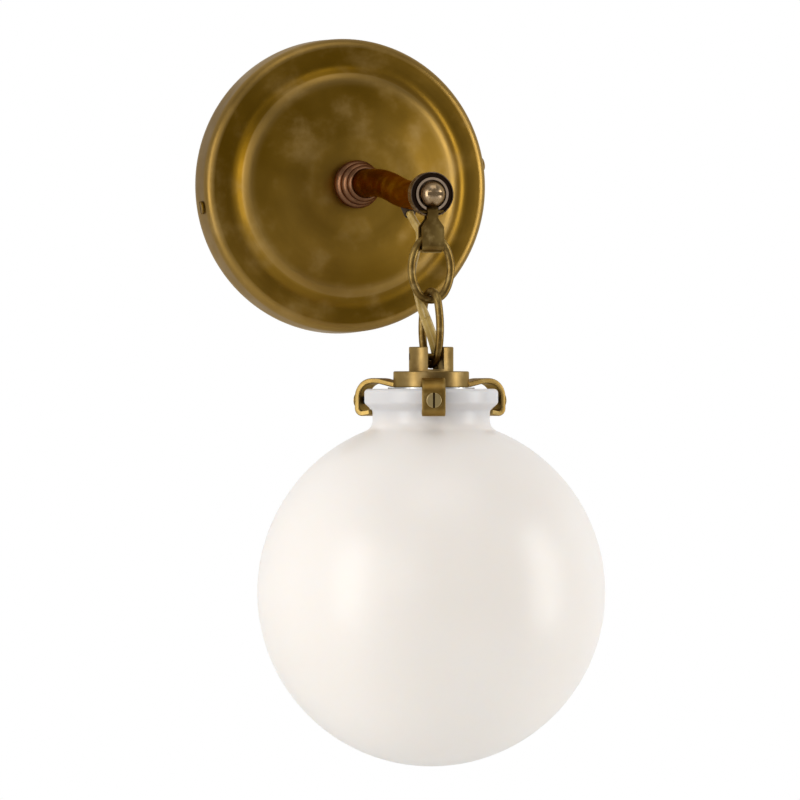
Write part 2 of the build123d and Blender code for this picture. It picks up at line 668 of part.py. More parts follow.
def clip_screw(angle):
    """Cheese-head screw through a clip's leg; its tip reaches the side of the glass rim."""
    side = turned(angle)
    seat_centre = side.from_local_coords((CLIP_REACH, screw_level, 0))
    seat = Plane(origin=seat_centre, x_dir=(0, 0, 1), z_dir=side.x_dir)
    with BuildPart() as screw:
        with BuildSketch(seat):
            Circle(CLIP_HEAD_RADIUS)
        extrude(amount=CLIP_HEAD_HEIGHT)
        fillet(screw.faces().sort_by(Axis(seat.origin, seat.z_dir))[-1].edges(), CLIP_HEAD_ROUND)
        with BuildSketch(seat.offset(CLIP_HEAD_HEIGHT)):
            Rectangle(2 * CLIP_HEAD_RADIUS, CLIP_SLOT[0])
        extrude(amount=-CLIP_SLOT[1], mode=Mode.SUBTRACT)
        with BuildSketch(seat):
            Circle(CLIP_SCREW_RADIUS)
        extrude(amount=RIM_RADIUS + SOFT_GAP - CLIP_REACH)
    return screw


for number, angle in enumerate(clip_angles, start=1):
    finish(clip(angle), f"clip_{number}")
    finish(clip_screw(angle), f"clip_screw_{number}")

# ---------------------------------------------------------------- glass globe
neck_joint = rim_top - NECK_HEIGHT
globe_level = neck_joint - sqrt(GLOBE_RADIUS ** 2 - NECK_RADIUS ** 2)
inner_globe = GLOBE_RADIUS - GLASS_WALL
inner_neck = NECK_RADIUS - GLASS_WALL
inner_joint = globe_level + sqrt(inner_globe ** 2 - inner_neck ** 2)
globe_bottom = globe_level - GLOBE_RADIUS
inner_bottom = globe_level - inner_globe
shoulder_round = 0.3 * (rim_top - neck_joint)

with BuildPart() as glass_globe:
    with BuildSketch(front_view):
        with BuildLine():
            FilletPolyline((inner_neck + 1.0, rim_top), (RIM_RADIUS, rim_top),
                           (RIM_RADIUS, rim_top - RIM_HEIGHT),
                           (NECK_RADIUS, rim_top - RIM_HEIGHT - RIM_SLOPE), (NECK_RADIUS, neck_joint),
                           radius=RIM_ROUNDS)
            ThreePointArc((NECK_RADIUS, neck_joint), (GLOBE_RADIUS, globe_level), (0, globe_bottom))
            Line((0, globe_bottom), (0, inner_bottom))
            ThreePointArc((0, inner_bottom), (inner_globe, globe_level), (inner_neck, inner_joint))
            Polyline((inner_neck, inner_joint), (inner_neck, rim_top - 1.0), (inner_neck + 1.0, rim_top))
        make_face()
    revolve(axis=HANG_AXIS)
    joint = glass_globe.edges().filter_by(GeomType.CIRCLE).filter_by(
        lambda edge: abs(edge.center().Z - neck_joint) < 0.01 and abs(edge.radius - NECK_RADIUS) < 0.01)
    fillet(joint, shoulder_round)
finish(glass_globe, "glass_globe")

# ---------------------------------------------------------------- lampholder
shell_inner = LAMP_CAP_RADIUS + SOFT_GAP
shell_outer = shell_inner + SHELL_WALL
cavity_top = body_top - (BODY_HEIGHT - SHELL_HEIGHT)
shell_base = cavity_top - SHELL_HEIGHT + 0.6
hub_radius = hypot(*LEAD_AWAY) - CORD_RADIUS - 0.1

with BuildPart() as holder_cap:
    with BuildSketch(hang_level(body_top - CAP_HEIGHT)):
        Circle(CAP_RADIUS)
    extrude(amount=CAP_HEIGHT + CAP_WALL)
    fillet(holder_cap.faces().sort_by(Axis.Z)[-1].edges(), 1.6)
    with BuildSketch(hang_level(body_top)):
        Circle(CAP_RADIUS - CAP_WALL)
        Circle(hub_radius, mode=Mode.SUBTRACT)
    extrude(amount=-CAP_HEIGHT, mode=Mode.SUBTRACT)
    with BuildSketch(hang_level(body_top - CAP_HUB)):
        Circle(CAP_RADIUS - CAP_WALL)
    extrude(amount=CAP_HUB - CAP_HEIGHT, mode=Mode.SUBTRACT)
    with BuildSketch(hang_level(body_top - CAP_HEIGHT)):
        Circle(STUD_RADIUS + FIT_GAP)
        with Locations(LEAD_AWAY):
            Circle(CORD_RADIUS + RUN_GAP)
    extrude(amount=CAP_HEIGHT + CAP_WALL, mode=Mode.SUBTRACT)
finish(holder_cap, "holder_cap")

with BuildPart() as lampholder_body:
    with BuildSketch(hang_level(body_top)):
        Circle(CAP_RADIUS - CAP_WALL - 4 * FIT_GAP)
    extrude(amount=-BODY_HEIGHT)
    fillet(lampholder_body.faces().sort_by(Axis.Z)[0].edges(), 1.2)
    with BuildSketch(hang_level(body_top)):
        Circle(hub_radius + FIT_GAP)
    extrude(amount=-CAP_HUB - 4 * SOFT_GAP, mode=Mode.SUBTRACT)
    with BuildSketch(hang_level(body_top - BODY_HEIGHT)):
        Circle(shell_outer + FIT_GAP)
    extrude(amount=SHELL_HEIGHT, mode=Mode.SUBTRACT)
finish(lampholder_body, "lampholder_body")

with BuildPart() as screw_shell:
    with BuildSketch(hang_level(shell_base)):
        Circle(shell_outer)
        Circle(shell_inner, mode=Mode.SUBTRACT)
    extrude(amount=cavity_top - shell_base)
finish(screw_shell, "screw_shell")

contact_base = cavity_top - 1.6
with BuildPart() as centre_contact:
    with BuildSketch(hang_level(cavity_top)):
        SlotOverall(16, 5)
    extrude(amount=-0.8)
    with BuildSketch(hang_level(cavity_top - 0.8)):
        Circle(2.2)
    extrude(amount=contact_base - cavity_top + 0.8)
finish(centre_contact, "centre_contact")

# ---------------------------------------------------------------- lamp
lamp_tip = contact_base - SOFT_GAP
lamp_cap_base = lamp_tip - LAMP_CAP_HEIGHT
lamp_neck = LAMP_CAP_RADIUS - 0.9
lamp_bottom = lamp_cap_base - LAMP_LENGTH

with BuildPart() as lamp_cap:
    with BuildSketch(front_view):
        with BuildLine():
            Polyline((0, lamp_cap_base), (LAMP_CAP_RADIUS, lamp_cap_base), (LAMP_CAP_RADIUS, lamp_tip - 6),
                     (5.2, lamp_tip - 1.6), (4.2, lamp_tip), (0, lamp_tip), (0, lamp_cap_base))
        make_face()
    revolve(axis=HANG_AXIS)
finish(lamp_cap, "lamp_cap")


def draw_lamp(inset):
    """Draw the half section of the lamp's envelope, moved in by inset."""
    points = [
        (lamp_neck - inset, lamp_cap_base),
        (LAMP_RADIUS - inset, lamp_cap_base - 0.3 * LAMP_LENGTH),
        (LAMP_RADIUS - inset, lamp_cap_base - 0.55 * LAMP_LENGTH),
        (0.45 * LAMP_RADIUS - inset, lamp_bottom + inset),
        (0, lamp_bottom + inset),
    ]
    FilletPolyline(*points, radius=[60, 36, 6])
    Polyline(points[-1], (0, lamp_cap_base), points[0])


with BuildPart() as lamp_glass:
    for inset, mode in ((0, Mode.ADD), (1.0, Mode.SUBTRACT)):
        with BuildSketch(front_view):
            with BuildLine():
                draw_lamp(inset)
            make_face()
        revolve(axis=HANG_AXIS, mode=mode)
finish(lamp_glass, "lamp_glass")

filament_level = lamp_cap_base - 0.42 * LAMP_LENGTH
stem_top = filament_level + 0.8 * SUPPORT_LENGTH
support_at = FILAMENT_SPAN / 2
with BuildPart() as lamp_stem:
    with BuildSketch(front_view):
        with BuildLine():
            Polyline((0, lamp_cap_base), (STEM_FOOT, lamp_cap_base),
                     (STEM_NECK[0], lamp_cap_base - STEM_LENGTH), (STEM_NECK[1], stem_top),
                     (0, stem_top), (0, lamp_cap_base))
        make_face()
    revolve(axis=HANG_AXIS)
    for across in (-1, 1):
        with BuildSketch(front_view):
            with Locations((across * support_at, filament_level)):
                Rectangle(0.8, SUPPORT_LENGTH)
            with Locations((across * 0.58 * support_at, stem_top + 0.1 * SUPPORT_LENGTH)):
                Rectangle(support_at + 0.1, 0.82 * SUPPORT_LENGTH)
        extrude(amount=0.4, both=True)
    with BuildSketch(Plane.YZ):
        with Locations((-HANG, filament_level - SUPPORT_LENGTH / 2)):
            Circle(0.6)
    extrude(amount=support_at + 0.4, both=True)
finish(lamp_stem, "lamp_stem")


# ---------------------------------------------------------------- cords and leads
def bend_radii(points, share=0.45):
    """Arc for each corner: a share of the shorter run, over the tangent of half the turn."""
    radii = []
    for before, corner, after in zip(points, points[1:], points[2:]):
        arriving = Vector(*corner) - Vector(*before)
        leaving = Vector(*after) - Vector(*corner)
        half_turn = radians(arriving.get_angle(leaving) / 2)
        radii.append(share * min(arriving.length, leaving.length) / tan(half_turn))
    return radii


def cord_piece(name, points, radius, radii=None):
    """Round cord along straight runs joined by tangent arcs."""
    radii = radii or bend_radii(points)
    with BuildPart() as piece:
        with BuildLine() as route:
            FilletPolyline(*points, radius=radii)
        with BuildSketch(Plane(origin=points[0], z_dir=route.line % 0)):
            Circle(radius)
        sweep()
    length = sum(edge.length for edge in route.edges())
    ratio = piece.part.volume / (pi * radius ** 2 * length)
    print(name, "length", round(length, 1), "volume ratio", round(ratio, 4),
          "radii", [round(value, 1) for value in radii])
    finish(piece, name)


cord_back = nipple_back + 1.0
into_bush = bush_end - exit_down * ((bush_end.Z + ARM_DROP) / exit_down.Z)
arm_route = [(0, -cord_back, 0), first_bend, tuple(into_bush), tuple(bush_end)]
cord_piece("arm_cord", arm_route, CORD_RADIUS, [0.6 * jog_radius, 10])

# The free stretch hangs from the bush behind the oval link, then crosses the lower link's
# opening and drops into the cup beside the wire
lead_x, lead_y = LEAD_AWAY[0], LEAD_AWAY[1] - HANG
free_route = [
    tuple(bush_end),
    tuple(bush_end + exit_down * BUSH_TO_BEND),
    (-0.8, -124.3, -25.2),
    (-3.4, -130.9, -33.2),
    (-5.2, -135.2, -43.2),
    (-5.6, -138.3, -52.8),
    (-1.5, -139.8, -63.2),
    (2.3, -139.6, -72.6),
    (lead_x - 0.2, lead_y, -80.0),
    (lead_x + 0.15, lead_y + 0.1, -86.0),
    (lead_x + 0.15, lead_y + 0.1, LEAD_TOP),
]
cord_piece("free_cord", free_route, CORD_RADIUS)

with BuildPart() as holder_cord:
    with BuildSketch(hang_level(body_top)):
        with Locations(LEAD_AWAY):
            Circle(CORD_RADIUS)
    extrude(amount=LEAD_TOP - body_top)
finish(holder_cord, "holder_cord")

connector_mouth = Vector(*CONNECTOR_MOUTH)
lead_side = LEAD_RADIUS + 0.05
for name, side in (("supply_lead_left", -1), ("supply_lead_right", 1)):
    lead_route = [
        (side * lead_side, -cord_back, 0),
        (side * lead_side, -cord_back + 0.27 * CONNECTOR_LENGTH, 0),
        (side * 0.30 * connector_mouth.X, -cord_back + 0.42 * CONNECTOR_LENGTH, 0.28 * connector_mouth.Z),
        (side * 0.65 * connector_mouth.X, 0.78 * connector_mouth.Y, 0.54 * connector_mouth.Z),
        (side * 0.96 * connector_mouth.X, 0.93 * connector_mouth.Y, 0.78 * connector_mouth.Z),
        (side * connector_mouth.X, connector_mouth.Y, connector_mouth.Z + 0.47 * CONNECTOR_LENGTH),
    ]
    cord_piece(name, lead_route, LEAD_RADIUS)

for name, side in (("wire_connector_left", -1), ("wire_connector_right", 1)):
    mouth = Plane(origin=(side * connector_mouth.X, connector_mouth.Y, connector_mouth.Z), z_dir=(0, 0, 1))
    with BuildPart() as wire_connector:
        with BuildSketch(mouth):
            Circle(CONNECTOR_RADIUS)
        with BuildSketch(mouth.offset(CONNECTOR_LENGTH)):
            Circle(CONNECTOR_RADIUS - 1.3)
        loft()
        with BuildSketch(mouth):
            Circle(LEAD_RADIUS + 0.6)
        extrude(amount=9, mode=Mode.SUBTRACT)
    finish(wire_connector, name)
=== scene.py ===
# %% [markdown]
# # A wall light: round plate, jogged arm, short chain and opal globe
#
# The CAD model gives this script its frame: X runs along the wall, Y into the wall, Z up, and
# the origin is the middle of the back plate's rear rim. Everything is in metres, so a number in
# millimetres is multiplied by `mm`. The pieces that show most are drawn again here as smooth
# surfaces, and the others keep their CAD mesh and get a finish.

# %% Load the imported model
import math

import bmesh
import bpy
import numpy as np
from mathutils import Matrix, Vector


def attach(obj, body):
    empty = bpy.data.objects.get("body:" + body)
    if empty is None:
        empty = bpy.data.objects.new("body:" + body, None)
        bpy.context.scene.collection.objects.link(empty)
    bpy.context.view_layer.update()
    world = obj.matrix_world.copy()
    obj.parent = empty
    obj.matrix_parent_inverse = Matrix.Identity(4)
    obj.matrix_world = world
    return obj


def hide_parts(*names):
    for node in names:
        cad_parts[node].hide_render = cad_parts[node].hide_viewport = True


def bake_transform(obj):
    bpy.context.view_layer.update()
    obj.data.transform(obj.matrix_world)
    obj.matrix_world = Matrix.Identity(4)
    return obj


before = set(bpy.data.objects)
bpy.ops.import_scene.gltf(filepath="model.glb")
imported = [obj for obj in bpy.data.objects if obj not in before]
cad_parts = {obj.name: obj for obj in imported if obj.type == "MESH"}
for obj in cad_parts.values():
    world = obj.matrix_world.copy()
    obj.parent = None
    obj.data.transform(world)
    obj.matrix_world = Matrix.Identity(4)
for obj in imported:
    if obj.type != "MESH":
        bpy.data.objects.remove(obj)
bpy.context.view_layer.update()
mm = 0.001
hang = (0.0, -144.0, 0.0)       # the line that the chain hangs on, in millimetres
tip_level = -7.9                # the arm's tip is this much lower than the collar

# %% [markdown]
# ## Camera
#
# The photograph was taken from far away with a long lens: the globe is round and the plate is
# only a little narrower than high. So the camera stands 2.8 m off, 17 degrees to the left of
# the arm, level, and the lens is 292 mm long on a 36 mm sensor.

# %% Camera
aim = np.array([-13.0, -139.8, -98.0]) * mm
azimuth = math.radians(-17.2)
away = 2.847
camera_data = bpy.data.cameras.new("camera")
camera_data.lens = 292.5
camera_data.sensor_width = 36.0
camera_data.clip_start = 0.1
camera_data.clip_end = 60.0
camera = bpy.data.objects.new("camera", camera_data)
camera.location = aim + away * np.array([math.sin(azimuth), -math.cos(azimuth), 0.0])
camera.rotation_euler = (math.pi / 2, 0.0, azimuth)
bpy.context.scene.collection.objects.link(camera)
bpy.context.scene.camera = camera
print("camera at", [round(v, 3) for v in camera.location])

# %% [markdown]
# ## The cord's line
#
# A flat gold cord leaves a bush under the arm, hangs behind the oval link, crosses the lower
# link and drops into the cup. Its line is one smooth NURBS curve. The control points are those of
# the CAD route, and some are moved a little to follow the photograph. Blender works the curve out
# as a row of points, and the cord's pieces follow those.

# %% Cord route
route = np.array([
    (0.0, -112.966, -15.6266), (0.0, -117.8809, -19.068), (0.3, -127.5, -23.8),
    (-2.6, -131.0, -33.2), (-6.4, -134.6, -43.2), (-4.6, -138.3, -52.8), (-0.8, -139.8, -63.2),
    (2.8, -139.6, -72.6), (4.5, -139.3, -80.0), (4.75, -139.2, -86.0), (4.75, -139.2, -91.8),
]) * mm


def curve_points(name, points):
    """Row of points on the NURBS curve that has these control points."""
    data = bpy.data.curves.new(name, "CURVE")
    data.dimensions = "3D"
    spline = data.splines.new("NURBS")
    spline.points.add(len(points) - 1)
    spline.points.foreach_set("co", np.hstack([points, np.ones((len(points), 1))]).ravel())
    spline.order_u = 3
    spline.use_endpoint_u = True
    spline.resolution_u = 24
    line = bpy.data.objects.new(name, data)
    bpy.context.scene.collection.objects.link(line)
    mesh = bpy.data.meshes.new_from_object(line)
    row = np.zeros(len(mesh.vertices) * 3)
    mesh.vertices.foreach_get("co", row)
    bpy.data.objects.remove(line)
    bpy.data.meshes.remove(mesh)
    return row.reshape(-1, 3)


cord_line = curve_points("cord route", route)
cord_steps = np.linalg.norm(np.diff(cord_line, axis=0), axis=1)
cord_along = np.append(0, np.cumsum(cord_steps))
print("cord", len(cord_line), "points, length", round(cord_along[-1] * 1000, 1), "mm")

# %% [markdown]
# ## Curves and surfaces from arrays
#
# Spun and drawn metal has soft corners, so a section starts as straight runs whose corners are
# rounded with arcs. A section is then turned round an axis, or carried along a path, and the
# whole grid of points is worked out at once.


# %% Rounded section
def rounded(points, radii, fine=7):
    """Straight runs with an arc at each inner corner.

    An arc of radius r at a corner that turns by a starts r * tan(a / 2) before the corner. Its
    centre lies on the corner's bisector, r / cos(a / 2) away.
    """
    points = np.asarray(points, float)
    rows = [points[:1]]
    for before, corner, after, radius in zip(points, points[1:], points[2:], radii):
        arrive = (corner - before) / np.linalg.norm(corner - before)
        leave = (after - corner) / np.linalg.norm(after - corner)
        turn = math.acos(float(np.clip(arrive @ leave, -1, 1)))
        inward = leave - arrive
        centre = corner + inward / np.linalg.norm(inward) * radius / math.cos(turn / 2)
        start = corner - arrive * radius * math.tan(turn / 2) - centre
        side = arrive * radius
        angle = np.linspace(0, turn, fine)[:, None]
        rows.append(centre + start * np.cos(angle) + side * np.sin(angle))
    rows.append(points[-1:])
    return np.vstack(rows)


def arc(centre, radius, first, last, fine):
    """Points of a circle, from one angle to another in degrees; 0 is along the first axis."""
    angle = np.radians(np.linspace(first, last, fine))[:, None]
    return np.asarray(centre) + radius * np.hstack([np.cos(angle), np.sin(angle)])


def bow(start, top, end, fine=9):
    """Arc through three points.

    Its centre is where the lines that halve the two chords meet, found from two equations.
    """
    start, top, end = (np.asarray(point, float) for point in (start, top, end))
    centre = np.linalg.solve(2 * np.array([top - start, end - top]),
                             [top @ top - start @ start, end @ end - top @ top])
    first, middle, last = (math.degrees(math.atan2(*(p - centre)[::-1])) for p in (start, top, end))
    middle = first + (middle - first + 180) % 360 - 180
    last = middle + (last - middle + 180) % 360 - 180
    return arc(centre, np.linalg.norm(start - centre), first, last, fine)


def even(points, step):
    """The same line with points added, so that no run is longer than step.

    Long runs next to tight arcs would spread the arc's shading over a flat face.
    """
    points = np.asarray(points, float)
    reach = np.linalg.norm(np.diff(points, axis=0), axis=1)
    counts = np.maximum(np.ceil(reach / step).astype(int), 1)
    share = np.concatenate([n + np.arange(count) / count for n, count in enumerate(counts)])
    share = np.append(share, len(points) - 1.0)
    return np.stack([np.interp(share, np.arange(len(points)), column) for column in points.T], -1)


print("a square corner becomes", len(rounded([(0, 0), (1, 0), (1, 1)], [0.2])), "points")


# %% Grid of points to a mesh
def surface(name, grid, close_rows=False, close_columns=False, marks=None):
    """Mesh whose points are a grid (rows, columns, 3): each four neighbours make one face.

    Points that fall together, as at a pole, become one, and the faces are turned outwards.
    marks is a dict of one number per point, kept on the mesh as named attributes.
    """
    rows, columns = grid.shape[:2]
    number = np.arange(rows * columns).reshape(rows, columns)
    down = np.arange(rows if close_rows else rows - 1)
    over = np.arange(columns if close_columns else columns - 1)
    a, b = down[:, None], over[None, :]
    below, beside = (a + 1) % rows, (b + 1) % columns
    faces = np.stack([number[a, b], number[a, beside], number[below, beside], number[below, b]], -1)
    mesh = bpy.data.meshes.new(name)
    mesh.from_pydata(grid.reshape(-1, 3), [], faces.reshape(-1, 4))
    for mark, values in (marks or {}).items():
        attribute = mesh.attributes.new(mark, "FLOAT", "POINT")
        attribute.data.foreach_set("value", np.asarray(values, np.float32).ravel())
    shell = bmesh.new()
    shell.from_mesh(mesh)
    bmesh.ops.remove_doubles(shell, verts=shell.verts, dist=1e-7)
    bmesh.ops.recalc_face_normals(shell, faces=shell.faces)
    shell.to_mesh(mesh)
    shell.free()
    mesh.shade_smooth()
    piece = bpy.data.objects.new(name, mesh)
    bpy.context.scene.collection.objects.link(piece)
    return piece


def turn_round(section, centre, axis, steps=128):
    """Grid for a section of (radius, distance along the axis), turned round the axis.

    A point at angle t is centre + axis * distance + radius * (u * cos t + v * sin t).
    """
    axis = np.asarray(axis, float) / np.linalg.norm(axis)
    u = np.cross(axis, [0.31, 0.87, 0.38])
    u = u / np.linalg.norm(u)
    v = np.cross(axis, u)
    angle = np.linspace(0, 2 * math.pi, steps, endpoint=False)
    ring = np.cos(angle)[:, None] * u + np.sin(angle)[:, None] * v
    radius, along = section[:, 0, None, None], section[:, 1, None, None]
    return centre + along * axis + radius * ring[None]


def carry(path, section, wide, closed=False):
    """Grid for a section of (width, height) carried along a path.

    The path's tangent is the difference of its neighbours. wide, made square to the tangent,
    is the width's direction, and tangent x width is the height's. Along an open path the section
    may change, and is then a grid of its own.
    """
    ahead, behind = np.roll(path, -1, axis=0), np.roll(path, 1, axis=0)
    tangent = ahead - behind if closed else np.gradient(path, axis=0)
    tangent = tangent / np.linalg.norm(tangent, axis=1)[:, None]
    wide = np.broadcast_to(wide, path.shape)
    wide = wide - (wide * tangent).sum(1)[:, None] * tangent
    wide = wide / np.linalg.norm(wide, axis=1)[:, None]
    high = np.cross(tangent, wide)
    return (path[:, None] + section[..., 0, None] * wide[:, None]
            + section[..., 1, None] * high[:, None])


def capped(grid):
    """The same grid with each end drawn in to its middle, so that the tube is closed."""
    first, last = grid[0].mean(0), grid[-1].mean(0)
    return np.concatenate([np.broadcast_to(first, grid[:1].shape), grid,
                           np.broadcast_to(last, grid[:1].shape)])


def bend_mark(section):
    """How sharply a closed section turns at each point, from -1, hollow, to 1, proud.

    It is the turn between the runs either side of a point, counted positive to the left. A turn
    of a third of a radian or more counts fully.
    """
    sharpness = 3
    runs = np.diff(np.vstack([section[-1:], section, section[:1]]), axis=0)
    heading = np.arctan2(runs[:, 1], runs[:, 0])
    turn = (np.diff(heading) + math.pi) % (2 * math.pi) - math.pi
    return np.clip(turn * sharpness, -1, 1)


print("section, grid and sweep helpers are ready")

# %% [markdown]
# ## The cord's pieces
#
# Two cores lie side by side in the cord, so its section is a flat oval with a waist. It leaves
# the bush edge on and turns face on where it crosses the lower link. The chain's joints bend it,
# and a piece can bend only between two bodies, so it is three lengths end to end. The first two
# lengths have a short tail, a little thinner, inside the next one, which hides the seam.

# %% Cord section
cord_width, cord_thick = 4.7 * mm, 2.5 * mm
steps_round = np.linspace(0, 2 * math.pi, 28, endpoint=False)
oval_x = cord_width / 2 * np.cos(steps_round)
waist = 1 - 0.34 * np.exp(-(oval_x / (0.42 * mm)) ** 2)
squareness = 0.72
height_share = np.sign(np.sin(steps_round)) * np.abs(np.sin(steps_round)) ** squareness
oval_y = cord_thick / 2 * height_share * waist
cord_section = np.stack([oval_x, oval_y], -1)
turn_from, turn_over = -45 * mm, 19 * mm
turn_share = np.clip((turn_from - cord_line[:, 2]) / turn_over, 0, 1)
turn_angle = math.pi / 2 * turn_share ** 2 * (3 - 2 * turn_share)
face = np.stack([np.sin(turn_angle), np.cos(turn_angle), np.zeros(len(turn_angle))], -1)
round_part = 6 * mm                             # it is round at the bush and flat after this
neck_in = np.clip(cord_along / round_part, 0, 1) ** 0.7
print("cord", cord_width / mm, "by", cord_thick / mm, "mm")


# %% Cord lengths
def cord_length(name, first, last, tail):
    """One length of the cord, from first to last along the line, with a thinner tail after it."""
    spacing, tail_size = 0.9 * mm, 0.88
    along = np.unique(np.concatenate([np.arange(first, last, spacing), [last],
                                      np.linspace(last, last + tail, 4)[1:]]))
    line = np.stack([np.interp(along, cord_along, column) for column in cord_line.T], -1)
    wide = np.stack([np.interp(along, cord_along, column) for column in face.T], -1)
    narrow = np.interp(along, cord_along, neck_in)[:, None]
    thin = np.where(along > last + 0.1 * mm, tail_size, 1.0)[:, None]
    section = cord_section[None] * thin[..., None]
    section = section * np.stack([0.74 + 0.26 * narrow, 1.28 - 0.28 * narrow], -1)
    piece = surface(name, capped(carry(line, section, wide)), close_columns=True)
    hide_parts("free_cord")
    return piece, line


cuts = cord_along[-1] * np.array([0.0, 0.326, 0.652, 1.0])
tail_length = 2 * mm
cord_pieces = []
for name, first, last, tail, upper, lower, start, end in (
        ("cord_upper", cuts[0], cuts[1], tail_length, "wall_part", "strap", 0.15, 0.8),
        ("cord_middle", cuts[1], cuts[2], tail_length, "strap", "oval", 0.1, 0.9),
        ("cord_lower", cuts[2], cuts[3], 0.0, "lower", "shade", 0.05, 0.6)):
    piece, line = cord_length(name, first, last, tail)
    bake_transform(piece)
    cord_pieces.append(piece)

# %% [markdown]
# ## Shader groups
#
# Every brass piece has the same rubbed, aged finish, so it is made once as a group: slow blotches
# between a mid and a dark tone, lighter metal on the proud edges, where a hand has rubbed them,
# together with a painted highlight, and a darker tone in the hollow ones, wax left there together
# with painted shade. The shader itself stays in each material.

# %% Node helpers
def new_group(name, inputs, outputs):
    """Empty shader node group with named sockets, given as (name, type, default)."""
    group = bpy.data.node_groups.new(name, "ShaderNodeTree")
    for label, kind, value in inputs:
        socket = group.interface.new_socket(label, in_out="INPUT", socket_type=kind)
        if value is not None:
            socket.default_value = value
    for label, kind in outputs:
        group.interface.new_socket(label, in_out="OUTPUT", socket_type=kind)
    return group, group.nodes.new("NodeGroupInput"), group.nodes.new("NodeGroupOutput")


def join(tree, source, target):
    """Link two sockets."""
    tree.links.new(source, target)


def noise(tree, vector, scale, detail=3.0, roughness=0.55):
    """Noise texture on a vector; scale is a number or a socket."""
    node = tree.nodes.new("ShaderNodeTexNoise")
    node.inputs["Detail"].default_value = detail
    node.inputs["Roughness"].default_value = roughness
    join(tree, vector, node.inputs["Vector"])
    if isinstance(scale, (int, float)):
        node.inputs["Scale"].default_value = scale
    else:
        join(tree, scale, node.inputs["Scale"])
    return node.outputs["Fac"]


def sums(tree, operation, first, second=None):
    """Math node; either input is a number or a socket."""
    node = tree.nodes.new("ShaderNodeMath")
    node.operation = operation
    for socket, value in zip(node.inputs, (first, second)):
        if isinstance(value, (int, float)):
            socket.default_value = value
        elif value is not None:
            join(tree, value, socket)
    return node.outputs[0]


def spread(tree, value, low, high, to_low=0.0, to_high=1.0):
    """Map a value from low..high to to_low..to_high, smooth at both ends."""
    node = tree.nodes.new("ShaderNodeMapRange")
    node.interpolation_type = "SMOOTHSTEP"
    join(tree, value, node.inputs["Value"])
    for label, number in (("From Min", low), ("From Max", high),
                          ("To Min", to_low), ("To Max", to_high)):
        node.inputs[label].default_value = number
    return node.outputs["Result"]


def blend_colour(tree, share, first, second):
    """Mix two colours; each is a socket or four numbers."""
    node = tree.nodes.new("ShaderNodeMix")
    node.data_type = "RGBA"
    for place, value in ((0, share), (6, first), (7, second)):
        socket = node.inputs[place]
        if isinstance(value, bpy.types.NodeSocket):
            join(tree, value, socket)
        else:
            socket.default_value = value
    return node.outputs[2]


def blend_number(tree, share, first, second):
    """Mix two numbers, given as sockets."""
    node = tree.nodes.new("ShaderNodeMix")
    for place, value in ((0, share), (2, first), (3, second)):
        join(tree, value, node.inputs[place])
    return node.outputs[0]


print("node helpers are ready")


# %% Patina group
def patina_group():
    """Blotchy aged tone: outputs the colour and the roughness."""
    colour, number, vector = "NodeSocketColor", "NodeSocketFloat", "NodeSocketVector"
    tree, given, out = new_group(
        "patina",
        [("Vector", vector, None), ("Bend", number, 0.0), ("Light", colour, None),
         ("Mid", colour, None), ("Dark", colour, None), ("Blotch Scale", number, 30.0),
         ("Smooth", number, 0.3), ("Rough", number, 0.45), ("Wear And Painted Light", number, 0.7)],
        [("Color", colour), ("Roughness", number)])
    finer, most_light = 5.3, 0.45
    slow = noise(tree, given.outputs["Vector"], given.outputs["Blotch Scale"], 3.0)
    quick_scale = sums(tree, "MULTIPLY", given.outputs["Blotch Scale"], finer)
    quick = noise(tree, given.outputs["Vector"], quick_scale, 4.0)
    clouds = spread(tree, slow, 0.36, 0.66)
    tone = blend_colour(tree, clouds, given.outputs["Dark"], given.outputs["Mid"])
    flecks = spread(tree, quick, 0.48, 0.78, 0.0, most_light)
    tone = blend_colour(tree, flecks, tone, given.outputs["Light"])
    # Proud edges turn lighter and hollows darker: rubbed metal and wax, together with a painted
    # highlight on the proud edges and painted shade in the hollows.
    proud = spread(tree, given.outputs["Bend"], 0.05, 0.75)
    hollow = spread(tree, sums(tree, "MULTIPLY", given.outputs["Bend"], -1.0), 0.05, 0.75)
    wear_and_painted_highlight = sums(tree, "MULTIPLY", proud, given.outputs["Wear And Painted Light"])
    wax_and_painted_shade = sums(tree, "MULTIPLY", hollow, given.outputs["Wear And Painted Light"])
    tone = blend_colour(tree, wear_and_painted_highlight, tone, given.outputs["Light"])
    tone = blend_colour(tree, wax_and_painted_shade, tone, given.outputs["Dark"])
    join(tree, tone, out.inputs["Color"])
    rough = blend_number(tree, spread(tree, quick, 0.35, 0.7), given.outputs["Smooth"],
                         given.outputs["Rough"])
    join(tree, rough, out.inputs["Roughness"])
    return tree


patina = patina_group()
print("group", patina.name, "sockets", [s.name for s in patina.interface.items_tree])


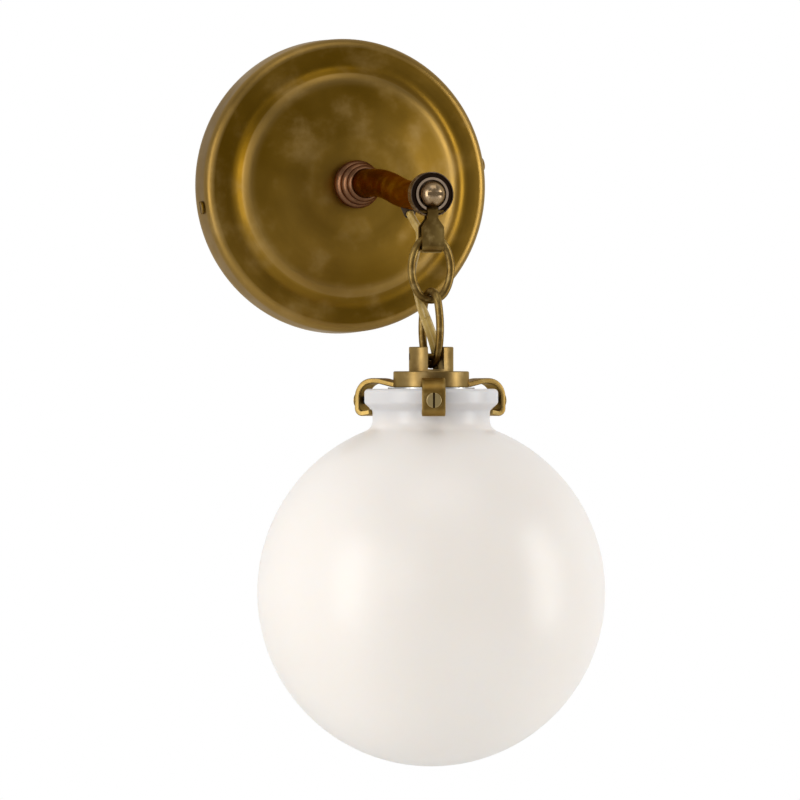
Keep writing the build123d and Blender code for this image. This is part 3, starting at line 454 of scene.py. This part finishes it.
# %% Lathe marks group
def lathe_group():
    """Fine rings round the vector's Z axis, as a lathe tool or a polishing wheel leaves them.

    The distance from the axis, stretched far more than the angle, feeds a noise, so the marks
    are long arcs. Height is their relief and Tone a faint lighter and darker ring.
    """
    tree, given, out = new_group(
        "lathe_marks",
        [("Vector", "NodeSocketVector", None), ("Fineness", "NodeSocketFloat", 1400.0)],
        [("Height", "NodeSocketFloat"), ("Tone", "NodeSocketFloat")])
    parts = tree.nodes.new("ShaderNodeSeparateXYZ")
    join(tree, given.outputs["Vector"], parts.inputs[0])
    x, y, z = parts.outputs
    round_scale, tone_share = 22.0, 0.16
    squares = sums(tree, "ADD", sums(tree, "MULTIPLY", x, x), sums(tree, "MULTIPLY", y, y))
    distance = sums(tree, "SQRT", squares)
    line = sums(tree, "MULTIPLY", sums(tree, "ADD", distance, z), given.outputs["Fineness"])
    place = tree.nodes.new("ShaderNodeCombineXYZ")
    join(tree, line, place.inputs[0])
    join(tree, sums(tree, "MULTIPLY", x, round_scale), place.inputs[1])
    join(tree, sums(tree, "MULTIPLY", y, round_scale), place.inputs[2])
    marks = noise(tree, place.outputs[0], 1.0, 3.0, 0.6)
    join(tree, marks, out.inputs["Height"])
    slow = tree.nodes.new("ShaderNodeCombineXYZ")
    join(tree, sums(tree, "MULTIPLY", line, tone_share), slow.inputs[0])
    join(tree, spread(tree, noise(tree, slow.outputs[0], 1.0, 2.0), 0.3, 0.7), out.inputs["Tone"])
    return tree


lathe_marks = lathe_group()
print("group", lathe_marks.name, "made")

# %% [markdown]
# ## Brass
#
# The photograph's brass isn't one colour. The plate is olive gold with brown clouds, the arm is
# copper brown, the chain is darker and the clips are brightest. They share the two groups and
# differ in their three tones, in the size of the clouds and in which way the marks run.


# %% Brass material
def brass(name, light, mid, dark, blotch, smooth, rough, centre=(0, 0, 0), turn=(0, 0, 0),
          fineness=1400.0, relief=0.06, ringed=0.25, wear_and_painted_light=0.7, painted_light_bands=(), edge=(0.95, 0.8, 0.55)):
    """Aged brass; centre and turn place the lathe's axis, which runs along the turned Z.

    bands are rings of painted light at set distances from that axis, as (from, to, amount) with the
    distances in millimetres: painted highlight where the amount is above 0, painted shade below it.
    Pieces that stay CAD meshes carry no bend attribute and get their light and dark rings from
    these alone. wear sets how far the proud edges lighten and the hollows darken, rubbing and wax
    together with the painted light on them. edge tints what the metal reflects at a grazing angle.
    """
    mark_depth = 0.2 * mm
    material = bpy.data.materials.new(name)
    material.use_nodes = True
    tree = material.node_tree
    shader = tree.nodes["Principled BSDF"]
    where = tree.nodes.new("ShaderNodeTexCoord")
    shift = tree.nodes.new("ShaderNodeMapping")
    shift.vector_type = "TEXTURE"
    shift.inputs["Location"].default_value = centre
    shift.inputs["Rotation"].default_value = turn
    join(tree, where.outputs["Object"], shift.inputs["Vector"])
    bend = tree.nodes.new("ShaderNodeAttribute")
    bend.attribute_name = "bend"
    bend_and_painted_light = bend.outputs["Fac"]
    if painted_light_bands:
        flat = tree.nodes.new("ShaderNodeVectorMath")
        flat.operation = "MULTIPLY"
        flat.inputs[1].default_value = (1, 1, 0)
        join(tree, shift.outputs["Vector"], flat.inputs[0])
        length = tree.nodes.new("ShaderNodeVectorMath")
        length.operation = "LENGTH"
        join(tree, flat.outputs["Vector"], length.inputs[0])
        # Each band adds a ring of painted light at its distance from the lathe's axis: painted
        # highlight for a positive amount, painted shade for a negative one.
        for low, high, amount in painted_light_bands:
            step = spread(tree, length.outputs["Value"], low * mm, high * mm, 0.0, amount)
            bend_and_painted_light = sums(tree, "ADD", bend_and_painted_light, step)
    aged = tree.nodes.new("ShaderNodeGroup")
    aged.node_tree = patina
    join(tree, where.outputs["Object"], aged.inputs["Vector"])
    join(tree, bend_and_painted_light, aged.inputs["Bend"])
    for label, value in (("Light", (*light, 1)), ("Mid", (*mid, 1)), ("Dark", (*dark, 1)),
                         ("Blotch Scale", blotch), ("Smooth", smooth), ("Rough", rough),
                         ("Wear And Painted Light", wear_and_painted_light)):
        aged.inputs[label].default_value = value
    turned = tree.nodes.new("ShaderNodeGroup")
    turned.node_tree = lathe_marks
    turned.inputs["Fineness"].default_value = fineness
    join(tree, shift.outputs["Vector"], turned.inputs["Vector"])
    ring_share = sums(tree, "MULTIPLY", turned.outputs["Tone"], ringed)
    colour = blend_colour(tree, ring_share, aged.outputs["Color"], (*dark, 1))
    join(tree, colour, shader.inputs["Base Color"])
    join(tree, aged.outputs["Roughness"], shader.inputs["Roughness"])
    shader.inputs["Metallic"].default_value = 1.0
    shader.inputs["Specular Tint"].default_value = (*edge, 1)
    bump = tree.nodes.new("ShaderNodeBump")
    bump.inputs["Strength"].default_value = relief
    bump.inputs["Distance"].default_value = mark_depth
    join(tree, turned.outputs["Height"], bump.inputs["Height"])
    join(tree, bump.outputs["Normal"], shader.inputs["Normal"])
    return material


to_room = (math.pi / 2, 0, 0)                   # turns the lathe's axis from Z to Y
on_chain = tuple(np.array(hang) * mm)
at_tip = (0, 0, tip_level * mm)
# On the plate these rings are painted light: a painted highlight on the crown next to the step (42
# to 49.5 mm) and on the flange (57 to 60.5 mm), where the side boxes light them, and painted shade
# in the step (50.5 to 52.8 mm).
brass_plate = brass(
    "spun brass plate", (0.44, 0.30, 0.115), (0.285, 0.162, 0.024), (0.14, 0.072, 0.004),
    11.0, 0.35, 0.48, turn=to_room, fineness=700.0, relief=0.03, ringed=0.35, wear_and_painted_light=0.3,
    painted_light_bands=[(42.0, 49.5, 0.45), (50.5, 52.8, -1.15), (57.0, 60.5, 0.7)], edge=(1.0, 0.93, 0.8))
# The collar's beads turn lighter and the valleys between them darker through the bend mark: rubbing
# and wax together with painted highlight and painted shade.
brass_collar = brass(
    "turned brass collar", (0.27, 0.135, 0.07), (0.10, 0.035, 0.010), (0.03, 0.009, 0.002),
    60.0, 0.30, 0.42, turn=to_room, relief=0.02, ringed=0.1, edge=(0.6, 0.35, 0.2))
brass_arm = brass(
    "drawn brass arm", (0.30, 0.145, 0.014), (0.215, 0.088, 0.004), (0.125, 0.044, 0.002),
    30.0, 0.34, 0.46, turn=to_room, ringed=0.1, relief=0.0, edge=(0.6, 0.36, 0.12))
# On the arm's end ring these rings are painted light: thin painted highlights at 6.2 to 6.5 and 9.1
# to 9.4 mm from the tip's axis, and a ring of painted shade at 7.3 to 7.6 mm between them.
brass_tip = brass(
    "brass arm tip", (0.62, 0.46, 0.33), (0.22, 0.14, 0.075), (0.03, 0.016, 0.010),
    70.0, 0.22, 0.34, centre=at_tip, turn=to_room, ringed=0.1, relief=0.02, wear_and_painted_light=1.0,
    painted_light_bands=[(6.2, 6.5, 0.8), (7.3, 7.6, -1.7), (9.1, 9.4, 1.15)])
# Painted shade darkens the end screw's dome round its foot, 3.6 to 5.2 mm from the axis.
brass_dome = brass(
    "brass end screw", (0.58, 0.46, 0.33), (0.32, 0.22, 0.12), (0.14, 0.08, 0.04),
    90.0, 0.22, 0.34, centre=at_tip, turn=to_room, ringed=0.1, relief=0.02, wear_and_painted_light=0.8,
    painted_light_bands=[(3.6, 5.2, -0.8)])
brass_chain = brass(
    "brass chain", (0.44, 0.32, 0.13), (0.28, 0.185, 0.055), (0.13, 0.075, 0.018),
    60.0, 0.34, 0.46, ringed=0.0, relief=0.0)
brass_holder = brass(
    "turned brass holder", (0.41, 0.30, 0.14), (0.28, 0.19, 0.07), (0.165, 0.10, 0.03),
    40.0, 0.34, 0.46, centre=on_chain, fineness=1500.0, relief=0.03)
brass_clip = brass(
    "brass clip", (0.38, 0.28, 0.11), (0.29, 0.185, 0.05), (0.18, 0.10, 0.02),
    50.0, 0.34, 0.46, ringed=0.0, relief=0.0, wear_and_painted_light=0.3)
# On the clip screws these rings are painted light: painted shade on the shank 30 to 31 mm from the
# hanging line, between the clip and the glass rim, and a thin painted highlight round the head at
# 36.7 to 37.1 mm.
brass_screw = brass(
    "brass clip screw", (0.50, 0.38, 0.18), (0.30, 0.20, 0.07), (0.03, 0.016, 0.005),
    60.0, 0.30, 0.42, centre=on_chain, ringed=0.0, relief=0.0, wear_and_painted_light=1.0,
    painted_light_bands=[(30.0, 31.0, -1.0), (36.7, 37.1, 1.5)])
print("brass finishes, from", brass_plate.name, "to", brass_screw.name)


# %% [markdown]
# ## Other finishes
#
# The rest is opal glass, plated steel, dark moulded plastic and the gold cord. None of them is
# one flat colour: a second shared group gives each a slow change of tone, a finer speckle and a
# relief, and each material sets how much of it shows.


# %% Mottle group
def mottle_group():
    """Two tones mixed by a slow noise, with a fine speckle over them."""
    colour, number, vector = "NodeSocketColor", "NodeSocketFloat", "NodeSocketVector"
    tree, given, out = new_group(
        "mottle",
        [("Vector", vector, None), ("First", colour, None), ("Second", colour, None),
         ("Scale", number, 20.0), ("Speckle", number, 0.1), ("Smooth", number, 0.3),
         ("Rough", number, 0.4)],
        [("Color", colour), ("Roughness", number), ("Height", number)])
    finer = 14.0
    slow = noise(tree, given.outputs["Vector"], given.outputs["Scale"], 2.0)
    fine_scale = sums(tree, "MULTIPLY", given.outputs["Scale"], finer)
    fine = noise(tree, given.outputs["Vector"], fine_scale, 4.0, 0.65)
    share = spread(tree, slow, 0.32, 0.68)
    tone = blend_colour(tree, share, given.outputs["First"], given.outputs["Second"])
    speck = sums(tree, "MULTIPLY", spread(tree, fine, 0.5, 0.75), given.outputs["Speckle"])
    join(tree, blend_colour(tree, speck, tone, given.outputs["Second"]), out.inputs["Color"])
    rough = blend_number(tree, spread(tree, fine, 0.3, 0.7), given.outputs["Smooth"],
                         given.outputs["Rough"])
    join(tree, rough, out.inputs["Roughness"])
    join(tree, fine, out.inputs["Height"])
    return tree


mottle = mottle_group()
print("group", mottle.name, "made")


# %% Mottled material
def mottled(name, first, second, scale, speckle, smooth, rough, relief=0.05, above=None, **fixed):
    """Material whose tone, roughness and relief come from the mottle group.

    above is (from, to, colour) for painted shade: between these two heights the tone changes to
    that colour.
    fixed holds values for the shader's own sockets, such as Metallic.
    """
    grain_depth = 0.1 * mm
    material = bpy.data.materials.new(name)
    material.use_nodes = True
    tree = material.node_tree
    shader = tree.nodes["Principled BSDF"]
    where = tree.nodes.new("ShaderNodeTexCoord")
    tones = tree.nodes.new("ShaderNodeGroup")
    tones.node_tree = mottle
    join(tree, where.outputs["Object"], tones.inputs["Vector"])
    for label, value in (("First", (*first, 1)), ("Second", (*second, 1)), ("Scale", scale),
                         ("Speckle", speckle), ("Smooth", smooth), ("Rough", rough)):
        tones.inputs[label].default_value = value
    colour = tones.outputs["Color"]
    if above:
        low, high, painted_shade_tone = above
        parts = tree.nodes.new("ShaderNodeSeparateXYZ")
        join(tree, where.outputs["Object"], parts.inputs[0])
        share = spread(tree, parts.outputs[2], low * mm, high * mm)
        colour = blend_colour(tree, share, colour, (*painted_shade_tone, 1))
    join(tree, colour, shader.inputs["Base Color"])
    join(tree, tones.outputs["Roughness"], shader.inputs["Roughness"])
    bump = tree.nodes.new("ShaderNodeBump")
    bump.inputs["Strength"].default_value = relief
    bump.inputs["Distance"].default_value = grain_depth
    join(tree, tones.outputs["Height"], bump.inputs["Height"])
    join(tree, bump.outputs["Normal"], shader.inputs["Normal"])
    for socket, value in fixed.items():
        shader.inputs[socket.replace("_", " ")].default_value = value
    return material


# The globe turns greyer from 112 mm to 102 mm below the origin and stays so up to the rim: painted
# shade under the holder and the clips.
opal = mottled("opal glass", (0.86, 0.805, 0.755), (0.83, 0.775, 0.72), 9.0, 0.12, 0.30, 0.38,
               0.01, above=(-112, -102, (0.63, 0.615, 0.61)),
               Subsurface_Weight=0.6, Subsurface_Radius=(0.9, 0.75, 0.6), Subsurface_Scale=0.004,
               Coat_Weight=0.1, Coat_Roughness=0.25, IOR=1.45)
lamp_opal = mottled("frosted lamp glass", (0.93, 0.93, 0.90), (0.88, 0.88, 0.85), 25.0, 0.1, 0.3,
                    0.45, Subsurface_Weight=0.3, Subsurface_Scale=0.002)
stem_glass = mottled("lamp stem", (0.80, 0.82, 0.80), (0.66, 0.68, 0.66), 60.0, 0.2, 0.1, 0.2,
                     Transmission_Weight=0.5)
steel = mottled("zinc plated steel", (0.62, 0.62, 0.60), (0.48, 0.48, 0.47), 55.0, 0.5, 0.28,
                0.42, Metallic=1.0)
green_coat = mottled("green coated screw", (0.05, 0.24, 0.09), (0.03, 0.15, 0.06), 90.0, 0.4, 0.3,
                     0.4, Coat_Weight=0.3)
plain_brass = mottled("plain brass", (0.78, 0.57, 0.25), (0.62, 0.43, 0.17), 50.0, 0.4, 0.2, 0.34,
                      Metallic=1.0)
dark_moulding = mottled("dark moulded plastic", (0.035, 0.028, 0.024), (0.055, 0.042, 0.034), 70.0,
                        0.4, 0.25, 0.4)
bush_moulding = mottled("bush", (0.025, 0.016, 0.010), (0.045, 0.03, 0.018), 90.0, 0.3, 0.7, 0.85,
                        Specular_IOR_Level=0.1)
orange_moulding = mottled("wire connector", (0.74, 0.25, 0.035), (0.60, 0.18, 0.02), 60.0, 0.3,
                          0.3, 0.42)
gold_cord = mottled("gold cord", (0.50, 0.345, 0.095), (0.34, 0.215, 0.04), 120.0, 0.35, 0.32,
                    0.46, 0.12, Coat_Weight=0.1, Coat_Roughness=0.3)
for piece in cord_pieces:
    piece.data.materials.append(gold_cord)
print("cord finish", gold_cord.name, "on", len(cord_pieces), "pieces")

# %% [markdown]
# ## Back plate
#
# The plate is a pan spun from sheet: a side wall, a nearly flat flange, a soft step and a low
# crown. One closed section, out over the front and back along the inside, is turned round
# the wall's normal. That gives the sheet a real thickness and an open back.


# %% Redrawn piece
def redrawn(name, grid, material, body, *nodes, **options):
    """Surface that stands for CAD nodes: mesh, finish and body in one step, with the nodes hidden.
    """
    piece = surface(name, grid, **options)
    piece.data.materials.append(material)
    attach(piece, body)
    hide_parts(*nodes)
    print(name, len(piece.data.polygons), "faces")
    return piece


def turned_piece(name, outline, centre, axis, material, body, *nodes, steps):
    """Outline of (radius, distance along the axis) turned into a closed piece, in millimetres."""
    outline = np.asarray(outline) * mm
    grid = turn_round(outline, np.asarray(centre) * mm, axis, steps)
    marks = np.repeat(bend_mark(outline)[:, None], steps, axis=1)
    return redrawn(name, grid, material, body, *nodes, close_rows=True, close_columns=True,
                   marks={"bend": marks})


# %% Plate
to_front, wall_middle, longest_run = (0, -1, 0), (0, 0, 0), 2.5
plate_face = [(67.5, 0), (67.0, 16.7), (60.5, 17.5), (54.6, 17.3), (49.6, 21.6), (30.6, 25.7),
              (13.9, 27.5), (5.05, 27.5)]
plate_back = [(66.3, 0), (65.8, 15.5), (60.5, 16.3), (54.2, 16.1), (49.2, 20.4), (30.6, 24.5),
              (13.9, 26.3), (5.05, 26.3)]
plate_outline = np.vstack([
    even(rounded(plate_face, [4.6, 30, 7, 10, 60, 40]), longest_run),
    even(rounded(plate_back, [3.4, 30, 8.2, 8.8, 60, 40]), longest_run)[::-1]])
turned_piece("plate", plate_outline, wall_middle, to_front, brass_plate, "wall_part", "backplate",
             steps=224)

# %% [markdown]
# ## Collar and arm
#
# Three turned beads hold the arm to the plate, each an arc between two narrow valleys. The arm is
# a brass tube with a slow double bend, so its wall is carried out along the bent line and back.

# %% Collar
beads = [(9.3, 29.5), (10.9, 32.7), (8.7, 35.9), (9.6, 38.6), (7.4, 41.3), (8.3, 43.6),
         (6.95, 45.9)]
foot = [(9.3, 27.5), (9.3, 28.5)]
sockets = [(6.4, 45.9), (6.4, 42.0), (6.4, 39.0), (4.94, 39.0), (4.94, 33.0), (4.94, 27.5)]
collar_outline = np.vstack([foot, bow(*beads[:3], 13), bow(*beads[2:5], 13)[1:],
                            bow(*beads[4:7], 13)[1:], sockets])
turned_piece("collar", collar_outline, wall_middle, to_front, brass_collar, "wall_part",
             "arm_collar", steps=128)

# %% Arm
arm_radius, arm_bore, bend_radius = 6.35, 5.15, 179
arm_corners = [(0, -39.0, 0), (0, -71.2, 0), (0, -108.8, tip_level), (0, -140.4, tip_level)]
arm_line = even(rounded(arm_corners, [bend_radius, bend_radius], 20), longest_run) * mm
circle = np.stack([np.cos(steps_round), np.sin(steps_round)], -1)
outside = carry(arm_line, arm_radius * mm * circle, (1, 0, 0))
inside = carry(arm_line, arm_bore * mm * circle, (1, 0, 0))
redrawn("arm", np.concatenate([outside, inside[::-1]]), brass_arm, "wall_part", "arm_tube",
        close_rows=True, close_columns=True)

# %% [markdown]
# ## Chain links
#
# The two lower links are ovals of round wire: a small bend at each end and a wide one at each
# side. The strap above them stays as the CAD made it. A closed line needs no caps, so its section
# simply runs round.

# %% Upward direction
upwards = np.array([0, 0, 1.0])
print("a link stands along", upwards)


# %% Wire links
def link_line(middle, reach, half_height):
    """Closed line of an oval link, 9 mm to each side of its middle.

    The end bends have radius 7.4 and their centres lie h from the middle. A side bend that meets
    both of them smoothly has radius (h^2 + 9.0^2 - 7.4^2) / (2 * (9.0 - 7.4)).
    """
    end, half_width = 7.4, 9.0
    h = half_height - end
    side = (h ** 2 + half_width ** 2 - end ** 2) / (2 * (half_width - end))
    rise = math.degrees(math.atan2(h, side - half_width))
    flat = np.vstack([
        arc((half_width - side, 0), side, -rise, rise, 17),
        arc((0, h), end, rise, 180 - rise, 25)[1:],
        arc((side - half_width, 0), side, 180 - rise, 180 + rise, 17)[1:],
        arc((0, -h), end, 180 + rise, 360 - rise, 25)[1:-1]])
    return np.asarray(middle) + flat[:, :1] * np.asarray(reach) + flat[:, 1:] * upwards


wire_radius = 1.75
turn = math.radians(8.0)
for name, level, reach, half_height, body in (
        ("oval_ring", -40.561, (1, 0, 0), 13.57, "oval"),
        ("long_ring", -66.481, (math.sin(turn), -math.cos(turn), 0), 16.0, "lower")):
    line = link_line((0, hang[1], level), reach, half_height) * mm
    across = np.cross(reach, upwards)
    grid = carry(line, wire_radius * mm * circle, across, closed=True)
    node = "oval_link" if body == "oval" else "lower_link"
    redrawn(name, grid, brass_chain, body, node, close_rows=True, close_columns=True)

# %% [markdown]
# ## Clips
#
# Each clip is a flat brass strap out of the holder's groove, bent down past the glass rim and
# curled in at its foot. Its edges are softly rounded, which catches a thin line of light; the
# narrow edges are also drawn lighter, rubbed metal together with a painted highlight.

# %% Clips
half_wide, half_thick, soft = 5.1, 1.15, 0.45
corners = [(half_wide - soft, half_thick - soft), (soft - half_wide, half_thick - soft),
           (soft - half_wide, soft - half_thick), (half_wide - soft, soft - half_thick)]
clip_section = np.vstack([arc(corner, soft, first, first + 90, 5)
                          for corner, first in zip(corners, (0, 90, 180, 270))])
clip_section = even(np.vstack([clip_section, clip_section[:1]]), 1.2)[:-1]
clip_corners = [(8.4, -91.28), (16.8, -91.28), (24.8, -89.4), (34.4, -90.0), (34.4, -104.3),
                (27.8, -103.2)]
clip_side = even(rounded(clip_corners, [10, 14, 7.2, 2.3], 12), 1.2)
clip_edge = np.abs(clip_section).max(1) > half_wide - 0.5
# The narrow edges are marked lighter: rubbed metal together with a painted highlight line.
edge_wear_and_highlight = 0.5
for number, angle in enumerate((-15.6, 104.4, 224.4), start=1):
    out = np.array([math.sin(math.radians(angle)), -math.cos(math.radians(angle)), 0])
    line = (np.array(hang) + clip_side[:, :1] * out + clip_side[:, 1:] * upwards) * mm
    across = np.array([-out[1], out[0], 0])
    grid = capped(carry(line, clip_section * mm, across))
    marks = np.broadcast_to(edge_wear_and_highlight * clip_edge, grid.shape[:2])
    redrawn(f"clip_strap_{number}", grid, brass_clip, "shade", f"clip_{number}",
            close_columns=True, marks={"bend": marks})

# %% [markdown]
# ## Glass globe
#
# The globe is a blown opal ball with a short neck and a thick, rounded rim. Its section runs down
# the outside, from the rim over the shoulder to the lowest point, and back up the inside.

# %% Globe
ball, wall, middle = 76.2, 3.0, -182.13
neck, join_level = 25.7, -106.84
rim, rim_top = 29.3, -93.13
shoulder = arc((30.88, join_level), 5.18, 180, 247.6, 12)
outer_angle = math.degrees(math.acos((shoulder[-1][1] - middle) / ball))
inner_angle = math.degrees(math.asin((neck - wall) / (ball - wall)))
globe_outline = np.vstack([
    even(rounded([(23.7, rim_top), (rim, rim_top), (rim, -99.43), (neck, -102.63),
                  (neck, join_level)], [1.8, 2.0, 2.0]), 1.5)[:-1],
    shoulder,
    arc((0, middle), ball, 90 - outer_angle, -90, 110)[1:],
    arc((0, middle), ball - wall, -90, 90 - inner_angle, 100),
    even([(22.7, -111.5), (22.7, -94.1), (23.0, -93.4), (23.7, rim_top)], longest_run)[:-1]])
turned_piece("globe", globe_outline, hang, (0, 0, 1), opal, "shade", "glass_globe", steps=192)

# %% [markdown]
# ## Finishes for the CAD pieces that stay
#
# Turned, stamped and moulded pieces whose CAD shape is already right keep it. Each gets the finish
# of its real material: those in sight the aged brass, those inside plated or moulded ones.

# %% Dress the other pieces
finishes = {
    brass_tip: ["arm_end_ring"],
    brass_dome: ["end_screw"],
    brass_chain: ["strap_link", "hanger_pin", "cross_pin"],
    brass_holder: ["chain_cup", "holder_disc"],
    brass_screw: ["clip_screw_1", "clip_screw_2", "clip_screw_3"],
    brass_plate: ["side_screw_left", "side_screw_right"],
    plain_brass: ["nipple", "lock_nut", "ring_nut", "screw_shell", "centre_contact", "holder_cap"],
    steel: ["wall_bar", "lock_washer", "clamp_washer", "lamp_cap"],
    green_coat: ["ground_screw"],
    dark_moulding: ["lampholder_body"],
    bush_moulding: ["cord_bush"],
    orange_moulding: ["wire_connector_left", "wire_connector_right"],
    gold_cord: ["arm_cord", "holder_cord", "supply_lead_left", "supply_lead_right"],
    lamp_opal: ["lamp_glass"],
    stem_glass: ["lamp_stem"],
}
for material, nodes in finishes.items():
    for node in nodes:
        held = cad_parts[node].data.materials
        held.clear()
        held.append(material)
dressed = sum(len(nodes) for nodes in finishes.values())
print("dressed", dressed, "CAD nodes of", len(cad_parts))

# %% [markdown]
# ## Light, floor and background
#
# The photograph shows two tall soft boxes, one each side: they draw the pale crescents at both
# sides of the plate's step and the broad light areas left and right on the globe, while the
# middle of the plate stays dark. A weak box in front and one above fill the shadows. The room is
# grey in front of the object and nearly white behind it, as a white backdrop is, and the camera
# sees pure white.

# %% Soft boxes
target = np.array([-10.0, -110.0, -110.0]) * mm


def soft_box(name, place, size, power):
    """Rectangular lamp that faces the object."""
    data = bpy.data.lights.new(name, "AREA")
    data.shape = "RECTANGLE"
    data.size, data.size_y = size
    data.energy = power
    lamp = bpy.data.objects.new(name, data)
    bpy.context.scene.collection.objects.link(lamp)
    lamp.location = place
    aim_at = Vector(target) - lamp.location
    lamp.rotation_euler = aim_at.to_track_quat("-Z", "Y").to_euler()
    return lamp


soft_box("left box", (-1.9, -0.8, 0.1), (0.8, 1.7), 20.0)
soft_box("right box", (1.75, -1.0, 0.1), (0.8, 1.7), 20.0)
soft_box("top box", (0.0, -0.9, 1.9), (1.5, 1.2), 8.0)
soft_box("front box", (-1.5, -2.0, 0.5), (1.2, 1.4), 7.0)
print("four soft boxes")

# %% World and floor
world = bpy.data.worlds.new("studio")
bpy.context.scene.world = world
world.use_nodes = True
sky = world.node_tree
background = sky.nodes["Background"]
seen = sky.nodes.new("ShaderNodeLightPath")
looking = sky.nodes.new("ShaderNodeTexCoord")
toward = sky.nodes.new("ShaderNodeSeparateXYZ")
join(sky, looking.outputs["Generated"], toward.inputs[0])
behind = spread(sky, toward.outputs[1], -0.25, 0.35)
grey, pale, pure_white = ((tone, tone, tone, 1) for tone in (0.37, 0.82, 1.0))
room = blend_colour(sky, behind, grey, pale)
backdrop = blend_colour(sky, seen.outputs["Is Camera Ray"], room, pure_white)
join(sky, backdrop, background.inputs["Color"])
floor_level = -0.60
floor_line = np.array([(0.0001, 0.0), (0.4, 0.0), (0.9, 0.0), (1.5, 0.0)])
floor_middle = np.array([0, -0.1, floor_level])
floor = surface("floor", turn_round(floor_line, floor_middle, (0, 0, 1), 96), close_columns=True)
floor.data.materials.append(mottled("pale floor", (0.86, 0.86, 0.85), (0.83, 0.83, 0.82), 3.0,
                                    0.1, 0.6, 0.7))
bpy.context.scene.view_settings.view_transform = "Standard"
print("floor at", floor_level, "m")
